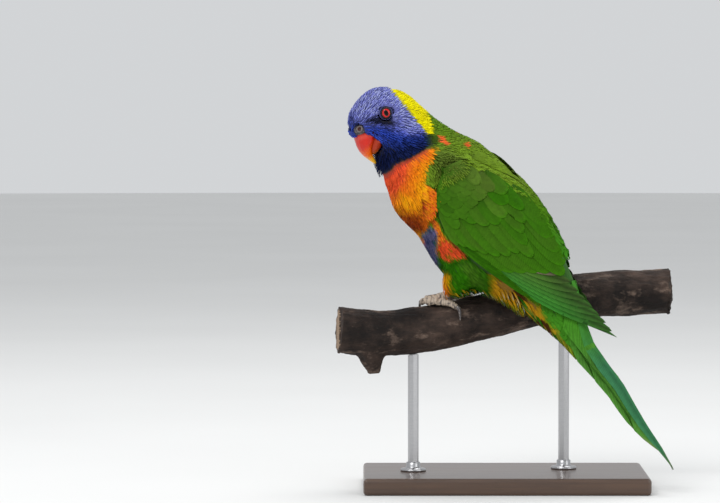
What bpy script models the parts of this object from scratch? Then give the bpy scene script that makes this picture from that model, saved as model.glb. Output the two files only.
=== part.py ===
"""Rainbow lorikeet on a cut length of branch, held by a flat base and two rods.

The bird looks along -X and its tail hangs to +X. The front of the model is -Y,
the side its left wing shows. Z = 0 is the underside of the base.
"""
import math

import bmesh
import bpy
from mathutils import Matrix, Vector

MM = 0.001
GAP = 0.3 * MM
SEAM = 0.15 * MM
SHARP_ANGLE = 50.0
WELD = 0.01 * MM

# Whole bird
BODY_TURN = -20.0
HEAD_TURN = 20.0
FOOT_X = -35.4 * MM
RING_SIDES = 20
STEPS_PER_ROW = 2
STEP_ROOM = 0.15
SPINE_STEPS = 8

# Rows across the bird from crown to tail tip: where the row's middle lies (x, z),
# its turn about Z, how far its back end is raised, half depth, half width,
# how much the face narrows to the front, and how far its sides droop like a roof.
# Lengths are in millimetres and angles in degrees.
ROWS = [
    (-80.3, 239.4, 20, 25, 1.5, 1.5, 0.00, 0.0),
    (-80.0, 237.2, 20, 25, 8.2, 8.0, 0.10, 0.0),
    (-79.5, 233.8, 20, 25, 14.8, 13.2, 0.18, 0.0),
    (-78.0, 230.3, 20, 25, 19.6, 16.8, 0.26, 0.0),
    (-75.5, 225.2, 20, 25, 22.9, 19.0, 0.38, 0.0),
    (-71.3, 220.6, 20, 25, 23.5, 20.0, 0.44, 0.0),
    (-65.5, 216.6, 17, 25, 22.4, 20.0, 0.46, 0.0),
    (-61.0, 212.1, 10, 25, 22.9, 19.8, 0.34, 0.0),
    (-56.5, 206.9, 1, 26, 24.7, 20.4, 0.20, 0.0),
    (-50.7, 200.4, -9, 28, 27.5, 22.0, 0.10, 0.0),
    (-43.8, 193.5, -16, 30, 31.8, 24.6, 0.05, 0.0),
    (-39.3, 186.0, -20, 34, 34.4, 26.6, 0.00, 0.0),
    (-32.8, 179.1, -20, 38, 35.0, 27.8, 0.00, 0.0),
    (-25.7, 172.7, -20, 40, 35.0, 28.4, 0.00, 0.0),
    (-18.0, 161.8, -20, 40, 36.4, 28.2, 0.00, 0.0),
    (-10.4, 151.2, -20, 40, 36.2, 27.0, 0.00, 0.0),
    (-0.6, 139.6, -20, 38, 32.0, 24.8, 0.00, 0.0),
    (11.2, 131.4, -20, 36, 25.7, 21.4, 0.00, 0.0),
    (20.4, 121.9, -20, 33, 22.0, 17.6, 0.00, 0.0),
    (28.6, 111.7, -20, 31, 17.4, 13.6, 0.00, 0.05),
    (37.4, 98.2, -20, 30, 11.2, 10.4, 0.00, 0.2),
    (48.0, 85.0, -20, 31, 5.6, 9.2, 0.00, 0.7),
    (55.4, 78.4, -20, 32, 3.2, 8.7, 0.00, 1.0),
    (66.6, 65.9, -20, 33, 2.2, 7.8, 0.00, 1.05),
    (78.3, 45.6, -20, 33, 1.8, 6.2, 0.00, 1.1),
    (88.9, 29.8, -20, 33, 1.4, 3.8, 0.00, 1.1),
    (94.6, 20.6, -20, 33, 0.9, 2.0, 0.00, 0.8),
    (98.0, 15.4, -20, 33, 0.5, 0.9, 0.00, 0.2),
]
HEAD_END = 6.6
NECK_END = 10.0
TRUNK_END = 19.6

# Head: its middle, and how far the face looks down
HEAD_X = -72.0 * MM
HEAD_Z = 220.2 * MM
HEAD_PITCH = 25.0
EYE_RADIUS = 4.3 * MM
EYE_FORWARD = 2.3 * MM
EYE_UP = 6.5 * MM
EYE_SIDE = 14.1 * MM
EYE_SEGMENTS = 14
EYE_RINGS = 8

# Bill rows: height, front edge, back edge and half width in the head's own frame
HORN_SIDES = 14
UPPER_BILL = [
    (3.2, 20.2, 13.4, 4.8),
    (0.5, 21.5, 10.6, 7.9),
    (-3.0, 21.9, 8.6, 8.4),
    (-6.7, 22.2, 11.9, 8.0),
    (-10.0, 21.9, 15.0, 6.7),
    (-13.2, 20.9, 16.4, 4.9),
    (-16.5, 19.2, 16.0, 3.1),
    (-19.0, 17.8, 15.6, 1.6),
    (-20.6, 16.6, 15.6, 0.5),
]
LOWER_BILL = [
    (-3.4, 13.0, 5.6, 6.4),
    (-6.0, 15.2, 6.4, 8.0),
    (-9.0, 17.2, 7.4, 8.4),
    (-11.6, 18.0, 9.0, 7.2),
    (-13.4, 17.6, 11.4, 4.6),
    (-14.6, 16.8, 13.6, 2.0),
]
CERE = [
    (5.8, 19.6, 14.6, 4.6),
    (4.7, 21.2, 13.2, 7.9),
    (3.0, 22.0, 12.4, 8.9),
    (0.4, 21.8, 12.6, 8.6),
]

# Wing, in its own chart: length runs from the bend to the tip, height across it
WING_X = -42.6 * MM
WING_Z = 178.8 * MM
WING_SLOPE = 37.4
WING_LOW = [
    (-4, 13.0), (0, 1.0), (8, -9.0), (22, -17.9),
    (46.6, -19.4), (76, -18.2), (105.7, -12.7), (138.0, -3.6),
]
WING_HIGH = [
    (-4, 14.5), (0, 25.0), (17.6, 29.5), (41.8, 33.4),
    (64.8, 27.0), (92.8, 15.1), (114.6, 4.2), (138.0, -3.0),
]
WING_LENGTH = 138.0
WING_START = -4.0
WING_THICK = [(-4, 2.0), (8, 4.2), (60, 3.8), (100, 2.4), (138.0, 1.2)]
WING_LIFT = [(-4, 0.6), (20, 2.0), (90, 1.8), (138.0, 1.0)]
WING_FLOOR = [(-4, 8.0), (60, 5.0), (110, 4.5), (138.0, 3.6)]
WING_ROWS = 16
WING_ROW_FIRST = 8
WING_ROW_LAST = 25
WING_ROW_STEPS = 3
TRUNK_FULLNESS = 2.4
WING_POINTS = 9
WING_CROWDING = 1.15
WING_EDGE_GAP = 0.3
WING_INNER_GAP = 1.4
WING_OUTER_ROOM = 14.0
WING_NEAREST = 0.9
WING_FIRST_GUESS = 20.0
WING_GUESSES = 3
FAR_WING_TUCK = 9.0

# Perch: a branch about 29 mm thick, its axis as (x, z) in millimetres
PERCH_AXIS = [
    (-100, 96.0), (-76, 92.6), (-50.4, 95.1), (-27, 99.6), (-6.6, 103.8),
    (21.6, 110.7), (41.4, 114.3), (59.4, 115.8), (100, 116.7),
]
PERCH_RADIUS = 14.3 * MM
PERCH_HALF = 100.0
PERCH_LEAN = 0.158
PERCH_CROSS_X = -38.0
PERCH_SIDES = 16
PERCH_STEPS = 18
SWELL = 0.05
SWELL_REACH = 16.0
RIPPLE = 0.012
RIPPLE_REACH = 9.0
BUMP = 0.2
STUB_X = -80.0 * MM
STUB_TOP_RADIUS = 15.0 * MM
STUB_END_RADIUS = 4.0 * MM
STUB_LENGTH = 24.5 * MM
STUB_LEAN = -6.0
STUB_SIDES = 12

# Thighs: rows of place along the body, height and radius
THIGH_SIDE = 11.0
THIGH_ROWS = [
    (19.0, 143.0, 11.0),
    (16.6, 136.0, 13.6),
    (14.8, 129.0, 13.8),
    (13.8, 123.0, 12.2),
    (12.6, 119.4, 10.2),
    (11.6, 117.4, 8.4),
    (11.0, 116.2, 5.4),
]
THIGH_SIDES = 14
THIGH_FLATNESS = 0.78
THIGH_TILT = 0.35

# Feet: where each sole sits on the perch (x, arc round it to the far side),
# and how far back and up its heel is. Lengths are in millimetres.
FEET = {
    "left": (-44.5, -5.0, 11.0, 5.2),
    "right": (-25.0, 8.0, 6.0, 9.0),
}
TARSUS_RADIUS = 2.1 * MM
TARSUS_RIM = 0.45
PAD_RADIUS = 3.3 * MM
NOSE_REACH = 2.0
NOSE_DROP = 0.6
NOSE_RADIUS = 1.68 * MM
TOE_RADIUS = 1.9 * MM
TOE_START = 5.4
TOE_STEPS = 4
TOE_ROOT = 0.92
TOE_SWELL = 0.1
TOE_TAPER = 0.08
CLAW_STEPS = 5
CLAW_GAP = 0.45
CLAW_ROOT = 0.74
CLAW_TAPER = 0.58
CLAW_TURN = 1.6
CLAW_LIFT = 0.6
CLAW_ARCH = 1.5
CLAW_FLOOR = 0.35

# Toes: heading on the unrolled bark at the start and end (0 to the tail, 90 to the far side),
# reach from the pad, thickness, the claw's last heading and its length
TOES = {
    "left": {
        "front_outer": (101.0, 102.0, 10.0, 1.0, 106.0, 7.0),
        "front_inner": (66.0, 80.0, 9.0, 0.95, 85.0, 5.5),
        "rear_inner": (26.0, 50.0, 8.2, 0.95, 70.0, 5.5),
        "rear_outer": (-14.0, -56.0, 17.8, 1.08, -100.0, 7.4),
    },
    "right": {
        "front_outer": (158.0, 150.0, 9.0, 1.0, 120.0, 7.0),
        "front_inner": (204.0, 200.0, 8.2, 0.95, 190.0, 5.5),
        "rear_inner": (-30.0, -20.0, 8.2, 0.95, 0.0, 5.5),
        "rear_outer": (16.0, 30.0, 12.0, 1.0, 60.0, 7.0),
    },
}

# Stand
BASE_SIZE = (170.0 * MM, 104.0 * MM, 10.0 * MM)
BASE_BEVEL = 2.0 * MM
ROD_RADIUS = 3.2 * MM
ROD_X = (-55.0 * MM, 36.0 * MM)
ROD_SINK = 11.0 * MM


def clear_objects():
    for obj in list(bpy.data.objects):
        bpy.data.objects.remove(obj, do_unlink=True)


def make_collection(name):
    collection = bpy.data.collections.new(name)
    bpy.context.scene.collection.children.link(collection)
    return collection


def make_material(name, color, roughness, metallic=0.0):
    material = bpy.data.materials.new(name)
    material.use_nodes = True
    shader = material.node_tree.nodes["Principled BSDF"]
    shader.inputs["Base Color"].default_value = (*color, 1.0)
    shader.inputs["Roughness"].default_value = roughness
    shader.inputs["Metallic"].default_value = metallic
    return material


def smooth_value(rows, position):
    """A smooth curve through rows, read at a row number that may be a fraction."""
    last = len(rows) - 1
    index = min(int(position), last - 1)
    t = position - index
    before = rows[max(index - 1, 0)]
    start = rows[index]
    end = rows[index + 1]
    after = rows[min(index + 2, last)]
    values = []
    for a, b, c, d in zip(before, start, end, after):
        bend = (2 * a - 5 * b + 4 * c - d) * t * t
        turn = (3 * b - a - 3 * c + d) * t * t * t
        values.append(0.5 * (2 * b + (c - a) * t + bend + turn))
    return values


def table_value(table, key):
    """A smooth curve through (key, value) pairs in rising order."""
    key = min(max(key, table[0][0]), table[-1][0])
    index = max(i for i, pair in enumerate(table[:-1]) if pair[0] <= key)
    low, high = table[index], table[index + 1]
    t = (key - low[0]) / (high[0] - low[0])
    before = table[max(index - 1, 0)]
    after = table[min(index + 2, len(table) - 1)]
    slope_low = (high[1] - before[1]) / (high[0] - before[0])
    slope_high = (after[1] - low[1]) / (after[0] - low[0])
    span = high[0] - low[0]
    value = (2 * t**3 - 3 * t**2 + 1) * low[1] + (3 * t**2 - 2 * t**3) * high[1]
    return value + span * ((t**3 - 2 * t**2 + t) * slope_low + (t**3 - t**2) * slope_high)


def spine_y(position):
    """How far the bird's middle lies from the plane through the feet, by following its turns."""
    start = next(i for i, row in enumerate(ROWS) if row[0] * MM > FOOT_X)
    y = -(ROWS[start][0] * MM - FOOT_X) * math.tan(math.radians(-BODY_TURN))
    steps = SPINE_STEPS * max(1, abs(int(position) - start))
    here = float(start)
    step = (position - start) / steps
    for _ in range(steps):
        row_a = smooth_value(ROWS, here)
        row_b = smooth_value(ROWS, here + step)
        y += (row_b[0] - row_a[0]) * MM * math.tan(math.radians(row_a[2]))
        here += step
    return y


def ring_at(position):
    """One closed ring of points round the bird."""
    x, z, turn, tilt, depth, width, face, roof = smooth_value(ROWS, position)
    turn = math.radians(turn)
    tilt = math.radians(tilt)
    middle = Vector((x * MM, spine_y(position), z * MM))
    back = Vector((math.cos(turn), math.sin(turn), 0.0))
    side = Vector((-math.sin(turn), math.cos(turn), 0.0))
    deep = back * math.cos(tilt) + Vector((0.0, 0.0, math.sin(tilt)))
    ring = []
    for i in range(RING_SIDES):
        angle = 2 * math.pi * i / RING_SIDES
        front = (1 - math.cos(angle)) / 2
        across = width * math.sin(angle) * (1 - face * front**2)
        along = depth * math.cos(angle) - roof * abs(across)
        ring.append(middle + deep * along * MM + side * across * MM)
    return ring


def mesh_object(name, mesh, material, collection):
    obj = bpy.data.objects.new(name, mesh)
    collection.objects.link(obj)
    mesh.materials.append(material)
    return obj


def loft(name, rings, material, collection):
    """A closed skin through rings that have the same number of points."""
    bm = bmesh.new()
    loops = [[bm.verts.new(point) for point in ring] for ring in rings]
    count = len(rings[0])
    for lower, upper in zip(loops, loops[1:]):
        for i in range(count):
            j = (i + 1) % count
            bm.faces.new((lower[i], lower[j], upper[j], upper[i]))
    bm.faces.new(list(reversed(loops[0])))
    bm.faces.new(loops[-1])
    bmesh.ops.recalc_face_normals(bm, faces=bm.faces)
    bmesh.ops.triangulate(bm, faces=bm.faces)
    mesh = bpy.data.meshes.new(name)
    bm.to_mesh(mesh)
    bm.free()
    mesh.shade_smooth()
    mesh.set_sharp_from_angle(angle=math.radians(SHARP_ANGLE))
    return mesh_object(name, mesh, material, collection)


def tube(name, points, radii, material, collection):
    """A bevelled curve with a radius for each point, made a mesh."""
    curve = bpy.data.curves.new(name, "CURVE")
    curve.dimensions = "3D"
    curve.bevel_depth = 1.0
    curve.bevel_resolution = 2
    curve.use_fill_caps = True
    spline = curve.splines.new("POLY")
    spline.points.add(len(points) - 1)
    for target, point, radius in zip(spline.points, points, radii):
        target.co = (*point, 1.0)
        target.radius = radius
    source = bpy.data.objects.new(name + "_line", curve)
    collection.objects.link(source)
    evaluated = source.evaluated_get(bpy.context.evaluated_depsgraph_get())
    mesh = bpy.data.meshes.new_from_object(evaluated)
    bpy.data.objects.remove(source)
    bm = bmesh.new()
    bm.from_mesh(mesh)
    bmesh.ops.remove_doubles(bm, verts=bm.verts, dist=WELD)
    bmesh.ops.recalc_face_normals(bm, faces=bm.faces)
    bm.to_mesh(mesh)
    bm.free()
    mesh.name = name
    mesh.materials.clear()
    mesh.shade_smooth()
    mesh.set_sharp_from_angle(angle=math.radians(SHARP_ANGLE))
    return mesh_object(name, mesh, material, collection)


def boolean(target, cutter, operation, name):
    modifier = target.modifiers.new(name, "BOOLEAN")
    modifier.operation = operation
    modifier.solver = "EXACT"
    modifier.object = cutter


def as_cutter(obj, collection):
    for owner in list(obj.users_collection):
        owner.objects.unlink(obj)
    collection.objects.link(obj)
    obj.hide_render = True
    obj.display_type = "WIRE"
    return obj


def grown_copy(source, distance, name, material, cutters):
    """A copy whose skin lies the given distance outside the source's."""
    bm = bmesh.new()
    bm.from_mesh(source.data)
    bm.normal_update()
    for vert in bm.verts:
        vert.co += vert.normal * distance
    mesh = bpy.data.meshes.new(name)
    bm.to_mesh(mesh)
    bm.free()
    return as_cutter(mesh_object(name, mesh, material, cutters), cutters)


def body_point(along, side, height):
    """A point in the trunk's own frame, in millimetres: along to the tail, side to the right wing."""
    turn = math.radians(BODY_TURN)
    x = FOOT_X + (along * math.cos(turn) - side * math.sin(turn)) * MM
    y = (along * math.sin(turn) + side * math.cos(turn)) * MM
    return Vector((x, y, height * MM))


def head_middle():
    row = min(range(len(ROWS)), key=lambda i: abs(ROWS[i][0] * MM - HEAD_X))
    return Vector((HEAD_X, spine_y(float(row)), HEAD_Z))


def head_point(middle, forward, up, side):
    """A point in the head's own frame, in metres: side to the bird's right."""
    turn = math.radians(HEAD_TURN)
    pitch = math.radians(HEAD_PITCH)
    back = Vector((math.cos(turn), math.sin(turn), 0.0))
    ahead = -back * math.cos(pitch) - Vector((0.0, 0.0, math.sin(pitch)))
    rise = -back * math.sin(pitch) + Vector((0.0, 0.0, math.cos(pitch)))
    across = Vector((-math.sin(turn), math.cos(turn), 0.0))
    return middle + ahead * forward + rise * up + across * side


def head_horn(name, rows, material, collection, grow=0.0):
    """A horn of the head lofted through rows of height, front, back and half width."""
    middle = head_middle()
    rings = []
    heights = [row[0] for row in rows]
    top, bottom = heights[0], heights[-1]
    for up, front, rear, half in rows:
        if grow and up == top:
            up += grow
        if grow and up == bottom:
            up -= grow
        centre = (front + rear) / 2
        reach = (front - rear) / 2 + grow
        ring = []
        for i in range(HORN_SIDES):
            angle = 2 * math.pi * i / HORN_SIDES
            forward = (centre + reach * math.cos(angle)) * MM
            ring.append(head_point(middle, forward, up * MM, (half + grow) * math.sin(angle) * MM))
        rings.append(ring)
    return loft(name, rings, material, collection)


def make_eye(name, side, material, collection, radius):
    centre = head_point(head_middle(), EYE_FORWARD, EYE_UP, side * EYE_SIDE)
    mesh = bpy.data.meshes.new(name)
    bm = bmesh.new()
    bmesh.ops.create_uvsphere(bm, u_segments=EYE_SEGMENTS, v_segments=EYE_RINGS, radius=radius)
    bm.to_mesh(mesh)
    bm.free()
    mesh.shade_smooth()
    obj = mesh_object(name, mesh, material, collection)
    obj.location = centre
    obj.rotation_euler = (math.radians(90), 0.0, math.radians(HEAD_TURN))
    return obj


def trunk_side(along, height):
    """Half width of the trunk, in millimetres, at a point of its middle plane."""
    turn = math.cos(math.radians(BODY_TURN))
    last = None
    for i in range((WING_ROW_LAST - WING_ROW_FIRST) * WING_ROW_STEPS + 1):
        row = smooth_value(ROWS, WING_ROW_FIRST + i / WING_ROW_STEPS)
        tilt = math.radians(row[3])
        dx = along - (row[0] - FOOT_X / MM) / turn
        dz = height - row[1]
        ahead = dx * math.sin(tilt) - dz * math.cos(tilt)
        deep = dx * math.cos(tilt) + dz * math.sin(tilt)
        share = min(abs(deep) / row[4], 1.0)
        half = row[5] * (1 - share**TRUNK_FULLNESS) ** (1 / TRUNK_FULLNESS)
        if ahead <= 0.0:
            break
        last = (ahead, half)
    if last is None or ahead > 0.0:
        return half
    part = last[0] / (last[0] - ahead)
    return last[1] + (half - last[1]) * part


def wing_place(length, height, inner, tuck, extra):
    """A point of the folded wing: place along and across it, outer or inner face."""
    slope = math.radians(WING_SLOPE)
    length_used = length * (1 - tuck / WING_LENGTH) if length > 0 else length
    view_x = WING_X / MM + length_used * math.cos(slope) + height * math.sin(slope)
    view_z = WING_Z / MM - length_used * math.sin(slope) + height * math.cos(slope)
    lift = table_value(WING_LIFT, length)
    floor = table_value(WING_FLOOR, length)
    side = WING_FIRST_GUESS
    turn = math.radians(-BODY_TURN)
    for _ in range(WING_GUESSES):
        along = (view_x - FOOT_X / MM + side * math.sin(turn)) / math.cos(turn)
        near = trunk_side(along, view_z)
        side = (near**3 + floor**3) ** (1 / 3) + lift
    if inner:
        side -= table_value(WING_THICK, length) + extra
    else:
        side += extra
    return along, side, view_z


def make_wing(name, hand, material, collection, tuck=0.0, grow=0.0, inward=0.0, outward=0.0):
    """A folded wing lying against the trunk. A cutter grows at its edges, inward and outward."""
    rings = []
    for i in range(WING_ROWS + 1):
        share = i / WING_ROWS
        length = WING_START + (WING_LENGTH - WING_START) * share**WING_CROWDING
        low = table_value(WING_LOW, length) - grow
        high = table_value(WING_HIGH, length) + grow
        shown = length
        if grow and i == 0:
            shown = length - grow
        if grow and i == WING_ROWS:
            shown = length + grow
        outer = []
        inner = []
        for k in range(WING_POINTS):
            height = low + (high - low) * k / (WING_POINTS - 1)
            along, side, z = wing_place(shown, height, False, tuck, outward)
            outer.append(body_point(along, hand * side, z))
            along, side, z = wing_place(shown, height, True, tuck, inward)
            inner.append(body_point(along, hand * max(side, WING_NEAREST - inward), z))
        rings.append(outer + list(reversed(inner)))
    return loft(name, rings, material, collection)


def perch_axis(x):
    z = table_value(PERCH_AXIS, x)
    return Vector((x * MM, PERCH_LEAN * (x - PERCH_CROSS_X) * MM, z * MM))


def perch_point(x, arc, lift):
    """A point over the bark: x along the perch, arc round it to the far side, lift off it, in mm."""
    axis = perch_axis(x)
    ahead = (perch_axis(x + 1) - perch_axis(x - 1)).normalized()
    far = Vector((0.0, 0.0, 1.0)).cross(ahead).normalized()
    up = ahead.cross(far)
    radius = perch_radius(x)
    angle = arc / (radius / MM)
    return axis + (up * math.cos(angle) + far * math.sin(angle)) * (radius + lift * MM)


def perch_radius(x):
    swell = 1 + SWELL * math.exp(-(((x - STUB_X / MM) / SWELL_REACH) ** 2))
    swell += RIPPLE * math.sin(x / RIPPLE_REACH)
    return PERCH_RADIUS * swell


def make_perch(name, material, collection, grow=0.0):
    rings = []
    for i in range(PERCH_STEPS + 1):
        x = -PERCH_HALF + 2 * PERCH_HALF * i / PERCH_STEPS
        ring = []
        for k in range(PERCH_SIDES):
            angle = 2 * math.pi * k / PERCH_SIDES
            bump = BUMP * (1.25 * math.sin(3 * angle + x / 14) + math.sin(2 * angle - x / 23))
            arc = angle * perch_radius(x) / MM
            ring.append(perch_point(x, arc, bump + grow))
        rings.append(ring)
    return loft(name, rings, material, collection)


def make_stub(name, material, cutters):
    """The root of a side branch that broke off under the perch."""
    mesh = bpy.data.meshes.new(name)
    bm = bmesh.new()
    bmesh.ops.create_cone(
        bm,
        cap_ends=True,
        segments=STUB_SIDES,
        radius1=STUB_END_RADIUS,
        radius2=STUB_TOP_RADIUS,
        depth=STUB_LENGTH,
    )
    bmesh.ops.rotate(bm, verts=bm.verts, matrix=Matrix.Rotation(math.radians(STUB_LEAN), 3, "Y"))
    bm.to_mesh(mesh)
    bm.free()
    obj = mesh_object(name, mesh, material, cutters)
    obj.location = perch_axis(STUB_X / MM) - Vector((0.0, 0.0, STUB_LENGTH / 2))
    return as_cutter(obj, cutters)


def make_thigh(name, hand, material, collection):
    rings = []
    for along, height, radius in THIGH_ROWS:
        ring = []
        for i in range(THIGH_SIDES):
            angle = 2 * math.pi * i / THIGH_SIDES
            place = along + radius * math.cos(angle)
            side = THIGH_SIDE + THIGH_FLATNESS * radius * math.sin(angle)
            ring.append(body_point(place, hand * side, height + THIGH_TILT * radius * math.cos(angle)))
        rings.append(ring)
    return loft(name, rings, material, collection)


def make_tarsus(name, foot, material, collection):
    x, arc, heel_back, heel_lift = FEET[foot]
    lift = (PAD_RADIUS + GAP) / MM
    pad = perch_point(x, arc, lift)
    nose = perch_point(x - NOSE_REACH, arc, lift - NOSE_DROP)
    heel = perch_point(x + heel_back, arc, heel_lift)
    rim = heel.lerp(pad, TARSUS_RIM)
    radii = [TARSUS_RADIUS, TARSUS_RADIUS, PAD_RADIUS, NOSE_RADIUS]
    return tube(name, [heel, rim, pad, nose], radii, material, collection)


def toe_places(foot, toe):
    """Places (x, arc) along a toe on the unrolled bark, and its last heading."""
    start, end, reach, _, _, _ = TOES[foot][toe]
    x, arc, _, _ = FEET[foot]
    heading = math.radians(start)
    x += TOE_START * math.cos(heading)
    arc += TOE_START * math.sin(heading)
    step = (reach - TOE_START) / TOE_STEPS
    places = [(x, arc)]
    for i in range(TOE_STEPS):
        heading = math.radians(start + (end - start) * ((i + 1) / TOE_STEPS) ** 2)
        x += step * math.cos(heading)
        arc += step * math.sin(heading)
        places.append((x, arc))
    return places, end


def make_toe(name, foot, toe, material, collection):
    places, _ = toe_places(foot, toe)
    thickness = TOE_RADIUS * TOES[foot][toe][3]
    points = []
    radii = []
    for i, (x, arc) in enumerate(places):
        share = i / TOE_STEPS
        radius = thickness * (TOE_ROOT + TOE_SWELL * math.sin(math.pi * share) - TOE_TAPER * share)
        points.append(perch_point(x, arc, (radius + GAP) / MM))
        radii.append(radius)
    return tube(name, points, radii, material, collection)


def make_claw(name, foot, toe, material, collection):
    """A hooked claw that goes on from the toe's end and turns to its last heading."""
    places, heading = toe_places(foot, toe)
    _, _, _, thickness, hook, length = TOES[foot][toe]
    x, arc = places[-1]
    step = CLAW_GAP
    points = []
    radii = []
    for i in range(CLAW_STEPS + 1):
        share = i / CLAW_STEPS
        direction = math.radians(heading + (hook - heading) * min(1.0, share * CLAW_TURN))
        x += step * math.cos(direction)
        arc += step * math.sin(direction)
        step = length / CLAW_STEPS
        radius = TOE_RADIUS * thickness * (CLAW_ROOT - CLAW_TAPER * share)
        rise = CLAW_LIFT + CLAW_ARCH * math.sin(math.pi * min(share * 1.15 + 0.1, 1.0))
        points.append(perch_point(x, arc, radius / MM + rise * (1 - share) + CLAW_FLOOR))
        radii.append(radius)
    return tube(name, points, radii, material, collection)


def make_base(name, material, collection):
    bpy.ops.mesh.primitive_cube_add(size=1.0)
    obj = bpy.context.active_object
    obj.name = name
    obj.data.name = name
    for owner in list(obj.users_collection):
        owner.objects.unlink(obj)
    collection.objects.link(obj)
    bm = bmesh.new()
    bm.from_mesh(obj.data)
    bmesh.ops.scale(bm, verts=bm.verts, vec=BASE_SIZE)
    bmesh.ops.translate(bm, verts=bm.verts, vec=(0.0, 0.0, BASE_SIZE[2] / 2))
    bm.to_mesh(obj.data)
    bm.free()
    obj.data.materials.append(material)
    bevel = obj.modifiers.new("rounded edges", "BEVEL")
    bevel.width = BASE_BEVEL
    bevel.segments = 2
    return obj


def make_rod(name, x, material, collection):
    axis = perch_axis(x / MM)
    points = [Vector((x, axis.y, BASE_SIZE[2] + GAP)), Vector((x, axis.y, axis.z - ROD_SINK))]
    return tube(name, points, [ROD_RADIUS, ROD_RADIUS], material, collection)


def build():
    clear_objects()
    parts = make_collection("rainbow_lorikeet")
    cutters = make_collection("cutters")
    violet = make_material("head feathers", (0.12, 0.13, 0.55), 0.6)
    lime = make_material("collar feathers", (0.55, 0.75, 0.05), 0.6)
    orange = make_material("breast feathers", (0.9, 0.25, 0.02), 0.6)
    green = make_material("wing feathers", (0.06, 0.35, 0.03), 0.55)
    teal = make_material("tail feathers", (0.05, 0.4, 0.2), 0.55)
    coral = make_material("bill horn", (0.85, 0.15, 0.03), 0.25)
    grey = make_material("scaly skin", (0.2, 0.18, 0.16), 0.6)
    slate = make_material("claw horn", (0.1, 0.1, 0.1), 0.35)
    red = make_material("eye", (0.6, 0.05, 0.03), 0.1)
    bark = make_material("bark", (0.09, 0.06, 0.05), 0.85)
    timber = make_material("stand wood", (0.3, 0.2, 0.12), 0.5)
    steel = make_material("stand steel", (0.6, 0.6, 0.6), 0.35, 1.0)

    perch = make_perch("perch", bark, parts)
    stub = make_stub("perch stub", bark, cutters)
    boolean(perch, stub, "UNION", "stub")
    perch_cut = as_cutter(make_perch("perch clearance", bark, cutters, GAP / MM), cutters)

    spans = {
        "head": (0.0, HEAD_END, violet),
        "neck": (HEAD_END, NECK_END, lime),
        "trunk": (NECK_END, TRUNK_END, orange),
        "tail": (TRUNK_END, len(ROWS) - 1.0, teal),
    }
    flesh = {}
    for name, (start, end, material) in spans.items():
        rings = [ring_at(position) for position in row_places(start, end)]
        pull_in(rings, start > 0.0, end < len(ROWS) - 1.0)
        flesh[name] = loft(name, rings, material, parts)

    for side, hand in (("left", -1), ("right", 1)):
        tuck = FAR_WING_TUCK if hand > 0 else 0.0
        wing = make_wing("wing_" + side, hand, green, parts, tuck)
        boolean(wing, perch_cut, "DIFFERENCE", "perch")
        wing_room = make_wing(
            "wing_cut_" + side, hand, green, cutters, tuck, WING_EDGE_GAP, WING_INNER_GAP, WING_OUTER_ROOM
        )
        cut = as_cutter(wing_room, cutters)
        for name in ("neck", "trunk", "tail"):
            boolean(flesh[name], cut, "DIFFERENCE", "wing " + side)
        thigh = make_thigh("thigh_" + side, hand, green, parts)
        thigh_cut = grown_copy(thigh, GAP, "thigh_cut_" + side, green, cutters)
        boolean(flesh["trunk"], thigh_cut, "DIFFERENCE", "thigh " + side)
        boolean(thigh, perch_cut, "DIFFERENCE", "perch")
        boolean(thigh, cut, "DIFFERENCE", "wing")
        tarsus = make_tarsus("tarsus_" + side, side, grey, parts)
        tarsus_cut = grown_copy(tarsus, GAP, "tarsus_cut_" + side, grey, cutters)
        boolean(thigh, tarsus_cut, "DIFFERENCE", "tarsus")
        boolean(flesh["trunk"], tarsus_cut, "DIFFERENCE", "tarsus " + side)
        for toe in TOES[side]:
            digit = make_toe(f"toe_{toe}_{side}", side, toe, grey, parts)
            claw = make_claw(f"claw_{toe}_{side}", side, toe, slate, parts)
            boolean(digit, tarsus_cut, "DIFFERENCE", "tarsus")
            for piece in (digit, claw):
                boolean(piece, perch_cut, "DIFFERENCE", "perch")
                room = grown_copy(piece, GAP, f"{piece.name}_cut", grey, cutters)
                boolean(thigh, room, "DIFFERENCE", piece.name)
                boolean(flesh["trunk"], room, "DIFFERENCE", piece.name)
        make_eye("eye_" + side, hand, red, parts, EYE_RADIUS)
        socket = as_cutter(make_eye("eye_cut_" + side, hand, red, cutters, EYE_RADIUS + GAP), cutters)
        boolean(flesh["head"], socket, "DIFFERENCE", "eye " + side)
    boolean(flesh["trunk"], perch_cut, "DIFFERENCE", "perch")

    head_horn("bill_upper", UPPER_BILL, coral, parts)
    lower = head_horn("bill_lower", LOWER_BILL, coral, parts)
    cere = head_horn("cere", CERE, grey, parts)
    upper_cut = as_cutter(head_horn("bill_upper_cut", UPPER_BILL, coral, cutters, GAP / MM), cutters)
    lower_cut = as_cutter(head_horn("bill_lower_cut", LOWER_BILL, coral, cutters, GAP / MM), cutters)
    cere_cut = as_cutter(head_horn("cere_cut", CERE, grey, cutters, GAP / MM), cutters)
    boolean(lower, upper_cut, "DIFFERENCE", "upper bill")
    boolean(cere, upper_cut, "DIFFERENCE", "upper bill")
    for name in ("head", "neck"):
        boolean(flesh[name], upper_cut, "DIFFERENCE", "upper bill")
        boolean(flesh[name], lower_cut, "DIFFERENCE", "lower bill")
    boolean(flesh["head"], cere_cut, "DIFFERENCE", "cere")

    make_base("stand_base", timber, parts)
    for index, x in enumerate(ROD_X, 1):
        rod = make_rod(f"stand_rod_{index}", x, steel, parts)
        boolean(rod, perch_cut, "DIFFERENCE", "perch")


def row_places(start, end):
    """Row numbers from start to end, with the steps between rows."""
    first = math.floor(start * STEPS_PER_ROW) + 1
    places = [start]
    for i in range(first, math.ceil(end * STEPS_PER_ROW)):
        if i / STEPS_PER_ROW - start > STEP_ROOM and end - i / STEPS_PER_ROW > STEP_ROOM:
            places.append(i / STEPS_PER_ROW)
    places.append(end)
    return places


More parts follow.
